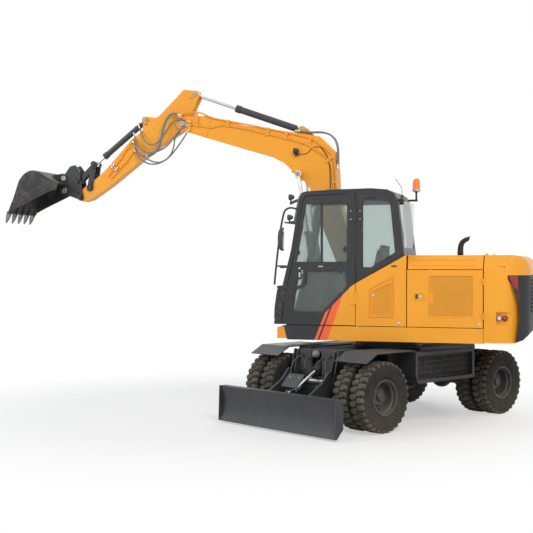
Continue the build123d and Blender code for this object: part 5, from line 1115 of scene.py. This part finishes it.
# A flat dark sheet in the latch is painted shade that stands for its recess
latch = gather("engine_door", "latch_painted_shade", SEAL, 0.001)
slab(latch, rounded(-580, -548, 1604, 1662, 8, 8), OUT, OUT + 2)
turned(gather("engine_door", "latch_lock", HOSE_END), upper(-610, OUT, 1632), LEFT, [
    (0.018, 0.0), (0.018, 0.005), (0.014, 0.008), (0.005, 0.008)], 22)
# The door's slot is a flat dark sheet: painted shade that stands for the opening
slot = gather("service_door", "slot", SEAL, 0.001)
slab(slot, rounded(-317, -246, 2000, 2020, 9, 9), OUT - 3, OUT + 1.2)


def way_at(path, index):
    """Direction of a side view's line at one of its points, as along and up."""
    before, after = path[max(0, index - 1)], path[min(len(path) - 1, index + 1)]
    return (Vector(after[:2]) - Vector(before[:2])).normalized()


# Exhaust: a tapered pipe that bends back, cut off at a slant; its points are along, up and radius
bm = bmesh.new()
path = [(-920, 2140, 42), (-920, 2200, 41), (-921, 2250, 39), (-927, 2292, 37), (-942, 2328, 35),
        (-968, 2356, 33), (-1002, 2374, 31), (-1040, 2384, 29)]
rings = []
for index, (x, z, radius) in enumerate(path):
    way = way_at(path, index)
    ring = []
    for c, s, _ in circle(1.0, 28):
        slant = 18 * c if index == len(path) - 1 else 0
        ring.append(bm.verts.new(upper(x + radius * c * way.y + slant * way.x, -480 + radius * s,
                                       z - radius * c * way.x + slant * way.y)))
    rings.append(ring)
mouth = sum((vertex.co for vertex in rings[-1]), Vector()) / 28
inner = [bm.verts.new(vertex.co.lerp(mouth, 0.12)) for vertex in rings[-1]]
deep = [bm.verts.new(vertex.co + Vector((0.06, 0, -0.012))) for vertex in inner]
bridge(bm, rings + [inner, deep])
bm.faces.new(deep)
bm.faces.new(rings[0])
bmesh.ops.recalc_face_normals(bm, faces=bm.faces)
pipe = piece_of("exhaust_pipe", mesh_from(bm, "exhaust_pipe"), "upper", DARK_PAINT)
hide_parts("exhaust")

# Cab: rounded roof edges in a lighter grey that is a painted sky reflection, dark borders round the windows,
# the seal over the sill and the yellow nose
ROOF_LINE = [(1010, 2560), (958, 2840), (930, 2925), (863, 2950), (600, 2960), (223, 2962), (-120, 2958),
             (-215, 2925), (-292, 2850), (-318, 2760), (-330, 2600), (-352, 2400), (-372, 2200)]
for side_y, name in ((1004, "left"), (136, "right")):
    tube(f"roof_edge_{name}", lane(side_y, *ROOF_LINE), 0.050, "upper", ROOF_HIGHLIGHT_PAINT)
edging = gather("upper", "window_edging", SEAL, 0.001)
border(edging, REAR_QUARTER, -30, OUT - 2, OUT + 2.5)
edging = gather("cab_door", "window_edging", SEAL, 0.001)
border(edging, DOOR_UPPER, -26, OUT - 2, OUT + 2.5)
border(edging, DOOR_LOWER, -26, OUT - 2, OUT + 2.5)
block(gather("upper", "sill_seal", SEAL), 180, 1130, 985, 1012, 1226, 1276)
block(gather("upper", "nose", YELLOW_PAINT, 0.006), 1120, 1248, 360, 1024, 1080, 1222)

# Hinge block of the door, and the lower front housing of the cab, its slots drawn as dark strips of painted
# shade
block(gather("cab_door", "hinge_block", YELLOW_PAINT, 0.004), 222, 296, OUT - 2, OUT + 11, 1522, 1692)
housing = gather("upper", "front_housing", CAB_PAINT, 0.012)
slab(housing, [(1214, 1290), (1262, 1290), (1290, 1330), (1286, 1470), (1262, 1640), (1236, 1760),
               (1206, 1760), (1150, 1760), (1214, 1500)], 860, 1028)
# The housing's slots are flat dark strips: painted shade where the openings are
slots = gather("upper", "housing_slot_shade", SEAL, 0.002)
for z in range(1330, 1740, 50):
    slab(slots, [(1190, z), (1250, z), (1246, z + 26), (1186, z + 26)], 1027, 1031)

# Rail and mirror brackets in place of the plain ones
rail = gather("upper", "rail_posts", PLASTIC, 0.003)
block(rail, 1150, 1214, 984, 1010, 1984, 2000)
block(gather("upper", "mirror_stem", PLASTIC, 0.003), 1160, 1180, 1000, 1060, 2490, 2508)

# Beacon: bracket, post, metal base with its ring, ribbed amber dome and cap
post = gather("upper", "beacon_post", SEAL, 0.002)
slab(post, [(-322, 2862), (-322, 2888), (-446, 2888), (-446, 2862)], 212, 248)
turned(post, upper(-430, 230, 2880), UP, [(0.013, 0.0), (0.013, 0.09), (0.017, 0.095), (0.017, 0.11)], 18)
turned(gather("upper", "beacon_base", HOSE_END), upper(-430, 230, 2984), UP, [
    (0.030, 0.0), (0.044, 0.006), (0.056, 0.012), (0.058, 0.028), (0.054, 0.034), (0.056, 0.040)], 32)
turned(gather("upper", "beacon_dome", AMBER), upper(-430, 230, 3022), UP, [
    (0.050, 0.0), (0.051, 0.012), (0.049, 0.014), (0.050, 0.050), (0.048, 0.052), (0.049, 0.090),
    (0.046, 0.112), (0.036, 0.132), (0.020, 0.144), (0.006, 0.148)], 36)

# Work lamp on the boom's knee
lamp_head("boom_lamp", 1300, -4, 3610, 0.040, "boom")
block(gather("boom", "boom_lamp_plate", PLASTIC, 0.002), 1246, 1300, -31, -6, 3548, 3574)


def cushion(name, middle, size, tilt, channels, crown):
    """A padded form: round edges, a crowned face, drawn in between its corners and sewn in channels."""
    bm = bmesh.new()
    bmesh.ops.create_cube(bm, size=2.0)
    bmesh.ops.subdivide_edges(bm, edges=bm.edges, cuts=13, use_grid_fill=True)
    turn = Matrix.Translation(middle) @ Matrix.Rotation(tilt, 4, "Y")
    for vertex in bm.verts:
        x, y, z = vertex.co
        long_x, long_y, long_z = (abs(v) ** 6 for v in (x, y, z))
        shrink = (long_x + long_y + long_z) ** (-1 / 6) if long_x + long_y + long_z > 1 else 1.0
        puff = 1 + crown * (1 - x * x) * (1 - y * y)
        x, y, z = x * shrink * (1 - 0.035 * (1 - y * y)), y * shrink * (1 - 0.03 * (1 - x * x)), z * shrink
        if z > 0:
            z *= puff
            for spot in channels:
                z -= 0.16 * math.exp(-((y - spot) / 0.045) ** 2)
        vertex.co = turn @ Vector((x * size[0], y * size[1], z * size[2]))
    piece = piece_of(name, mesh_from(bm, name), "upper", SEAT_CLOTH)
    soft = piece.modifiers.new("soft", "SUBSURF")
    soft.levels = 1
    soft.render_levels = 1
    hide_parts("seat")


# Seat: three pads, the stand with its bellows, armrests and a screen beside it
cushion("seat_cushion", upper(212, 560, 1642), (0.255, 0.235, 0.062), math.radians(-3), (-0.45, 0.45), 0.22)
cushion("seat_back", upper(-20, 560, 1960), (0.285, 0.225, 0.058), math.radians(81.5), (-0.5, 0.5), 0.20)
cushion("head_rest", upper(-74, 560, 2240), (0.040, 0.135, 0.045), math.radians(81.5), (), 0.2)
stand = gather("upper", "seat_stand", PLASTIC, 0.008)
slab(stand, [(40, 1310), (350, 1310), (330, 1400), (380, 1572), (30, 1572), (60, 1400)], 420, 700)
bellows = gather("upper", "seat_bellows", SEAL, 0.004)
for z in (1420, 1452, 1484, 1516):
    block(bellows, 46, 366, 410, 710, z, z + 18)
for y in (352, 768):
    slab(stand, [(0, 1700), (300, 1712), (310, 1742), (0, 1738)], y - 26, y + 26)
screen = gather("upper", "screen", PLASTIC, 0.006)
slab(screen, [(930, 1960), (950, 1962), (936, 2130), (916, 2128)], 180, 340)
screen = gather("upper", "screen_glass", SEAL, 0.001)
slab(screen, [(927, 1972), (929, 1972), (916, 2118), (914, 2118)], 192, 328)

# Bucket: a rolled back, side plates with bolted cutters, a cutting edge, and teeth on their adapters
BUCKET_BACK = [(4872, 3236), (4960, 3275), (5040, 3316), (5126, 3368), (5213, 3412), (5255, 3427),
               (5300, 3431), (5352, 3424), (5410, 3399), (5464, 3358), (5506, 3306), (5536, 3244),
               (5566, 3166), (5610, 3050), (5640, 2968), (5674, 2881), (5708, 2812)]
LIP = [(5690, 2818), (5600, 2862), (5488, 2914), (5300, 2994), (5036, 3107), (4902, 3142)]
MIDDLE_Y, HALF = -150, 384
BACK_T = 18
bowl = gather("bucket", "bowl", BUCKET, 0.003)
inner = []
for i, (x, z) in enumerate(BUCKET_BACK):
    way = way_at(BUCKET_BACK, i)
    inner.append((x + BACK_T * way.y, z - BACK_T * way.x))
slab(bowl, BUCKET_BACK + inner[::-1], MIDDLE_Y - HALF + 6, MIDDLE_Y + HALF - 6)
for side in (-1, 1):
    outer_y = MIDDLE_Y + side * HALF
    slab(bowl, BUCKET_BACK + LIP, outer_y, outer_y - side * 20)
wear = gather("bucket", "wear_plates", BUCKET, 0.004)
for side in (-1, 1):
    outer_y = MIDDLE_Y + side * HALF
    slab(wear, [(5519, 3300), (5608, 3050), (5668, 2890), (5600, 2905), (5548, 3010), (5540, 3100),
                (5500, 3150), (5484, 3262)], outer_y - side * 30, outer_y + side * 0.9)
    for x, z in ((5512, 3222), (5556, 3090), (5592, 2966)):
        bolt(gather("bucket", "bolts", BUCKET), upper(x, outer_y + side * 0.6, z), (0, side, 0), 0.011)
    slab(wear, [(4962, 3271), (5638, 2991), (5634, 2983), (4960, 3263)], outer_y - side * 4,
         outer_y + side * 0.9)
    for i in range(4, 13, 4):
        x, z = BUCKET_BACK[i]
        block(wear, x - 30, x + 10, outer_y - side * 34, outer_y - side * 2, z - 34, z - 8)
slab(wear, [(5630, 2960), (5650, 2966), (5716, 2800), (5702, 2790)], MIDDLE_Y - HALF + 2, MIDDLE_Y + HALF - 2)
for i in (3, 6, 9):
    (x0, z0), (x1, z1) = BUCKET_BACK[i], BUCKET_BACK[i + 1]
    slab(wear, [(x0, z0 - 6), (x1, z1 - 6), (x1, z1 + 2), (x0, z0 + 2)], MIDDLE_Y - HALF + 30,
         MIDDLE_Y + HALF - 30)
TOOTH_PITCH = 170
for tooth in range(5):
    y = MIDDLE_Y + (tooth - 2) * TOOTH_PITCH
    adapter = gather("bucket", "adapters", BUCKET, 0.005)
    slab(adapter, [(5612, 2990), (5668, 2930), (5712, 2842), (5742, 2778), (5706, 2762), (5660, 2810),
                   (5640, 2870)], y - 26, y + 26)
    fang = gather("bucket", "teeth", TOOTH_STEEL, 0.004)
    start = len(fang.verts)
    slab(fang, [(5694, 2842), (5738, 2822), (5759, 2740), (5769, 2652), (5726, 2706), (5690, 2780)], y - 32,
         y + 32)
    fang.verts.ensure_lookup_table()
    for vertex in fang.verts[start:]:
        reach = max(0.0, (2.80 - vertex.co.z) / 0.15)
        vertex.co.y += (upper(0, y, 0).y - vertex.co.y) * 0.35 * reach
    turned(gather("bucket", "tooth_pins", TOOTH_STEEL), upper(5700, y + 27, 2830), LEFT, [
        (0.010, -0.004), (0.010, 0.004), (0.007, 0.006)], 12)
for side in (-1, 1):
    y = MIDDLE_Y + side * 102
    ear = gather("bucket", "ears", BUCKET, 0.004)
    slab(ear, [(4868, 3098), (4880, 3355), (4905, 3388), (4945, 3396), (5120, 3374), (5000, 3262),
               (4968, 3100)], y - 10, y + 10)
    for x, z in ((4910, 3143), (4923, 3323)):
        turned(gather("bucket", "ear_bosses", PIN_STEEL), upper(x, y + side * 10, z), (0, side, 0), [
            (0.040, -0.001), (0.040, 0.010), (0.036, 0.013), (0.020, 0.013), (0.018, 0.010),
            (0.006, 0.010)], 24)


def blade_face(z):
    """Distance forward of the blade's curved face at a height, in the undercarriage's axes."""
    share = (z - 250) / 225
    return 2042 + (46 if share < 0 else 38) * share * share


# Blade: its curved face sheet
arc = [(blade_face(z), z) for z in (34 + (466 - 34) * step / 14 for step in range(15))]
face = gather("blade", "face_sheet", BLADE_PAINT)
slab(face, [(x + 5, z) for x, z in arc] + [(x - 9, z) for x, z in reversed(arc)], -1024, 1024, lower)

# Wheels: hub, nuts, rim ring, hand holes drawn as dark discs of painted shade, and valve on each outer rim
HUB_Y = 893
NUT_CIRCLE = 108
HOLE_CIRCLE = 158
for wheel, side, axle in WHEELS:
    body = f"wheel_{wheel}"
    axis = heading(lower, 0, side, 0)
    hub = gather(body, "hub", RIM_PAINT)
    hub_y = side * HUB_Y
    turned(hub, lower(axle, hub_y, AXLE_Z), axis, [
        (0.072, 0.0), (0.074, 0.022), (0.066, 0.030), (0.052, 0.032), (0.050, 0.056), (0.042, 0.064),
        (0.014, 0.066)], 28)
    outward = axis.to_track_quat("Z", "Y").to_matrix().to_4x4()
    facing = Matrix.Translation(lower(axle, side * 1012, AXLE_Z)) @ outward
    lathe(hub, [(0.213, 0.0), (0.213, 0.012), (0.207, 0.017), (0.198, 0.014), (0.196, 0.0)], facing, 56)
    # The hand holes are flat dark discs: painted shade where the rim is open
    holes = gather(body, "hand_hole_shade", SEAL)
    for nut in range(8):
        turn = math.pi * nut / 4 + 0.2
        x, z = axle + NUT_CIRCLE * math.cos(turn), AXLE_Z + NUT_CIRCLE * math.sin(turn)
        bolt(hub, lower(x, hub_y, z), axis, 0.013)
        turn += 0.39
        x, z = axle + HOLE_CIRCLE * math.cos(turn), AXLE_Z + HOLE_CIRCLE * math.sin(turn)
        turned(holes, lower(x, hub_y, z), axis, [(0.018, -0.002), (0.018, 0.001), (0.016, 0.0015)], 16)
    turned(gather(body, "valve", HOSE_END), lower(axle + 172, hub_y, 470), axis, [
        (0.005, 0.0), (0.005, 0.030), (0.004, 0.036)], 10)

# Blade: cutting edge with its bolts, a cover over its cylinder, and the hoses to it
edge = gather("blade", "cutting_edge", BLADE_PAINT, 0.003)
for low, high, out in ((26, 92, 3.0), (92, 132, -6.0)):
    first, second = blade_face(low) + out, blade_face(high) + out
    outline = [(first - 12, low), (min(first + 10, 2105), low), (second + 10, high), (second - 12, high)]
    slab(edge, outline, -1038, 1038, lower)
for y in range(-960, 961, 240):
    spot = lower(blade_face(62) + 11, y, 62)
    turned(gather("blade", "edge_bolts", BLADE_PAINT), spot, heading(lower, 1, 0, 0.1), [
        (0.014, -0.004), (0.013, 0.002), (0.006, 0.004)], 14)
cover = gather("blade", "cover", FRAME_PAINT, 0.003)
slab(cover, [(1690, 664), (1704, 676), (1850, 524), (1838, 512)], -136, 136, lower)
for y in (-80, 80):
    bolt(gather("blade", "cover_bolts", PIN_STEEL), lower(1742, y, 636), heading(lower, 0.7, 0, 0.7), 0.010)
BRAKE_HOSE = [(1352, 232, 866), (1400, 238, 872), (1462, 262, 838), (1500, 292, 760), (1512, 312, 660),
              (1520, 326, 580), (1560, 334, 520)]
CYLINDER_HOSE = [(1352, 120, 840), (1392, 124, 846), (1440, 118, 818), (1476, 96, 772), (1490, 70, 726)]
for side, name in ((-1, "right"), (1, "left")):
    tube(f"brake_hose_{name}", [lower(x, side * y, z) for x, y, z in BRAKE_HOSE], 0.022, "undercarriage",
         RUBBER, "blade")
    tube(f"cylinder_hose_{name}", [lower(x, side * y, z) for x, y, z in CYLINDER_HOSE], 0.020,
         "undercarriage", RUBBER)

# Chassis' front: a plate on each side with its bolts, and the valve between them
plate = gather("undercarriage", "front_plate", FRAME_PAINT, 0.004)
for side in (-1, 1):
    slab(plate, [(1350, 640), (1358, 640), (1358, 930), (1350, 930)], side * 96, side * 296, lower)
front_bolts = gather("undercarriage", "front_bolts", FRAME_PAINT)
for y in (-250, 250):
    for z in (690, 890):
        bolt(front_bolts, lower(1358, y, z), heading(lower, 1, 0, 0), 0.013)
valve = gather("undercarriage", "swivel_valve", IRON, 0.004)
turned(valve, lower(1350, 0, 903), heading(lower, 1, 0, 0), [
    (0.050, 0.0), (0.052, 0.020), (0.042, 0.026), (0.040, 0.050), (0.028, 0.056), (0.012, 0.060)], 26)

# Side boxes: a dark pierced panel in each frame, and a serrated tread on top
panels = gather("undercarriage", "box_panels", LINING, 0.002)
treads = gather("undercarriage", "box_treads", FRAME_PAINT)
holes = gather("undercarriage", "box_holes", FRAME_PAINT)
for side in (-1, 1):
    block(panels, -540, 622, side * 962, side * 968, 572, 912, lower)
    for x in range(-548, 608, 35):
        slab(treads, [(x, 936), (x + 20, 936), (x + 16, 944), (x + 4, 944)], side * 990, side * 1018, lower)
    for row in range(5):
        for column in range(22):
            spot = lower(-500 + column * 51, side * 968, 610 + row * 66)
            turned(holes, spot, heading(lower, 0, side, 0), [
                (0.010, -0.001), (0.010, 0.0014), (0.008, 0.0016)], 8)

# Stop valves on the arm's pipes
valves = gather("arm", "stop_valves", HOSE_END)
levers = gather("arm", "valve_levers", HOSE_END, 0.001)
for x, z in ((4118, 3487), (4060, 3440)):
    turned(valves, upper(x, -62, z), (0.62, 0, -0.78), [
        (0.011, -0.040), (0.013, -0.036), (0.013, -0.014), (0.019, -0.012), (0.019, 0.012), (0.013, 0.014),
        (0.013, 0.036), (0.010, 0.040)], 16)
    turned(valves, upper(x, -62, z), LEFT, [
        (0.012, 0.0), (0.012, 0.018), (0.016, 0.020), (0.016, 0.030), (0.008, 0.034)], 14)
    slab(levers, [(x - 6, z - 4), (x + 34, z + 30), (x + 28, z + 36), (x - 12, z + 4)], -32, -28)

# Boom: the clamped pair of pipes down its side, the plate on its knee and the band round its tip
BOOM_PIPES = [
    ("upper", [(2881, 4219), (2800, 4217), (2727, 4212), (2640, 4172), (2523, 4120), (2400, 4092),
               (2045, 4017), (1740, 3946), (1430, 3875), (1180, 3812), (1068, 3780), (950, 3696),
               (830, 3599), (760, 3530), (735, 3446), (722, 3260), (712, 3079)]),
    ("lower", [(2830, 4037), (2700, 4010), (2574, 3984), (2480, 3996), (2371, 4018), (2200, 3985),
               (2020, 3945), (1720, 3868), (1430, 3794), (1220, 3727), (1116, 3689), (990, 3602),
               (874, 3519), (800, 3450), (776, 3355), (762, 3220), (752, 3079)]),
]
for name, route in BOOM_PIPES:
    tube(f"boom_pipe_{name}", lane(-17, *route), 0.022, "boom", ARM_PAINT)
clamp = gather("boom", "pipe_clamps", ARM_PAINT, 0.002)
for x, z, long_x, high, turn in ((2768, 4118, 30, 214, 0), (2295, 4036, 36, 100, 12),
                                 (1700, 3896, 36, 112, 12), (1430, 3835, 36, 112, 12),
                                 (1092, 3737, 36, 130, 20), (806, 3480, 30, 120, 55),
                                 (734, 3160, 30, 76, 90)):
    c, s = math.cos(math.radians(turn)), math.sin(math.radians(turn))
    corners = [(-long_x / 2, -high / 2), (long_x / 2, -high / 2), (long_x / 2, high / 2),
               (-long_x / 2, high / 2)]
    slab(clamp, [(x + a * c - b * s, z + a * s + b * c) for a, b in corners], -30, -4)
slab(gather("boom", "knee_plate", ARM_PAINT, 0.003), [
    (1600, 3530), (1500, 3505), (1284, 3370), (1140, 3230), (1032, 3063), (985, 2900), (1012, 2840),
    (1090, 3080), (1190, 3210), (1270, 3215), (1320, 3310), (1464, 3450)], -31, -22)
tip_band = gather("boom", "tip_band", ARM_PAINT, 0.003)
slab(tip_band, [(2561, 4110), (2676, 4127), (2727, 3901), (2625, 3862)], -31, -24)


# What was gathered becomes one piece for each kind
STANDS_FOR = {
    # piece: the node that it stands for, and its material slot
    "upper_beacon_dome": ("beacon", "amber_lens"), "upper_rail_posts": ("mirrors", "controls"),
    "boom_boom_lamp_shell": ("work_lamp", "grey_steel"), "bucket_bowl": ("bucket", "bucket_steel"),
}
for key, (bm, body, material, width) in GATHERED.items():
    bmesh.ops.recalc_face_normals(bm, faces=bm.faces)
    piece = piece_of(key, mesh_from(bm, key), body, material, False)
    if key in STANDS_FOR:
        node, slot = STANDS_FOR[key]
        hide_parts(node)
    if width:
        round_edges(piece, width, 2, 40)


# Floor, world and lamps
bpy.ops.mesh.primitive_plane_add(size=90.0, location=(0.0, 0.0, 0.0))
floor = bpy.context.active_object
floor.name = "floor"
g = Graph("floor")
surface = g.add("ShaderNodeBsdfDiffuse")
g.feed(surface.inputs[0], g.mix(g.ramp(g.noise(0.8), 0.3, 0.7), tone("F6F6F5"), tone("F1F1F0")))
white = g.add("ShaderNodeEmission")
away = g.add("ShaderNodeVectorMath", operation="LENGTH")
g.join(g.place, away.inputs[0])
rays = g.add("ShaderNodeLightPath").outputs
# The floor keeps the object's shadow near it and turns white further off, where the camera sees it
plain = g.math("MULTIPLY", g.ramp(away.outputs["Value"], 2.6, 5.2, 0.45, 1.0), rays["Is Camera Ray"])
floor_blend = g.add("ShaderNodeMixShader")
for socket, source in zip(floor_blend.inputs, (plain, surface.outputs[0], white.outputs[0])):
    g.join(source, socket)
g.join(floor_blend.outputs[0], g.add("ShaderNodeOutputMaterial").inputs[0])
floor.data.materials.append(g.material)

world = bpy.data.worlds.new("studio")
bpy.context.scene.world = world
sky = Wiring(world)
rays = sky.add("ShaderNodeLightPath").outputs
soft, white = sky.add("ShaderNodeBackground"), sky.add("ShaderNodeBackground")
for source, colour, strength in ((soft, (0.93, 0.96, 1.0, 1.0), 0.5), (white, (1.0, 1.0, 1.0, 1.0), 1.0)):
    sky.feed(source.inputs[0], colour)
    sky.feed(source.inputs[1], strength)
mirrored = sky.math("MAXIMUM", rays["Is Glossy Ray"], rays["Is Transmission Ray"])
seen = sky.math("MAXIMUM", rays["Is Camera Ray"], mirrored)
sky_blend = sky.add("ShaderNodeMixShader")
for socket, source in zip(sky_blend.inputs, (seen, soft.outputs[0], white.outputs[0])):
    sky.join(source, socket)
sky.join(sky_blend.outputs[0], sky.add("ShaderNodeOutputWorld").inputs[0])


def lamp(name, place, target, size, power, tint):
    """A round area lamp that faces a target."""
    data = bpy.data.lights.new(name, "AREA")
    data.shape = "DISK"
    data.size = size
    data.energy = power
    data.color = tint
    light = bpy.data.objects.new(name, data)
    bpy.context.scene.collection.objects.link(light)
    light.location = place
    light.rotation_euler = (Vector(target) - Vector(place)).to_track_quat("-Z", "Y").to_euler()


lamp("key", (-9.0, 12.0, 11.0), (0.0, 0.0, 1.5), 7.0, 1250.0, (1.0, 0.98, 0.95))
lamp("fill", (12.0, 9.0, 7.0), (0.0, 0.0, 1.5), 8.0, 560.0, (0.95, 0.98, 1.0))
lamp("rim", (3.0, -13.0, 9.0), (0.0, 0.0, 2.0), 8.0, 520.0, (1.0, 1.0, 1.0))
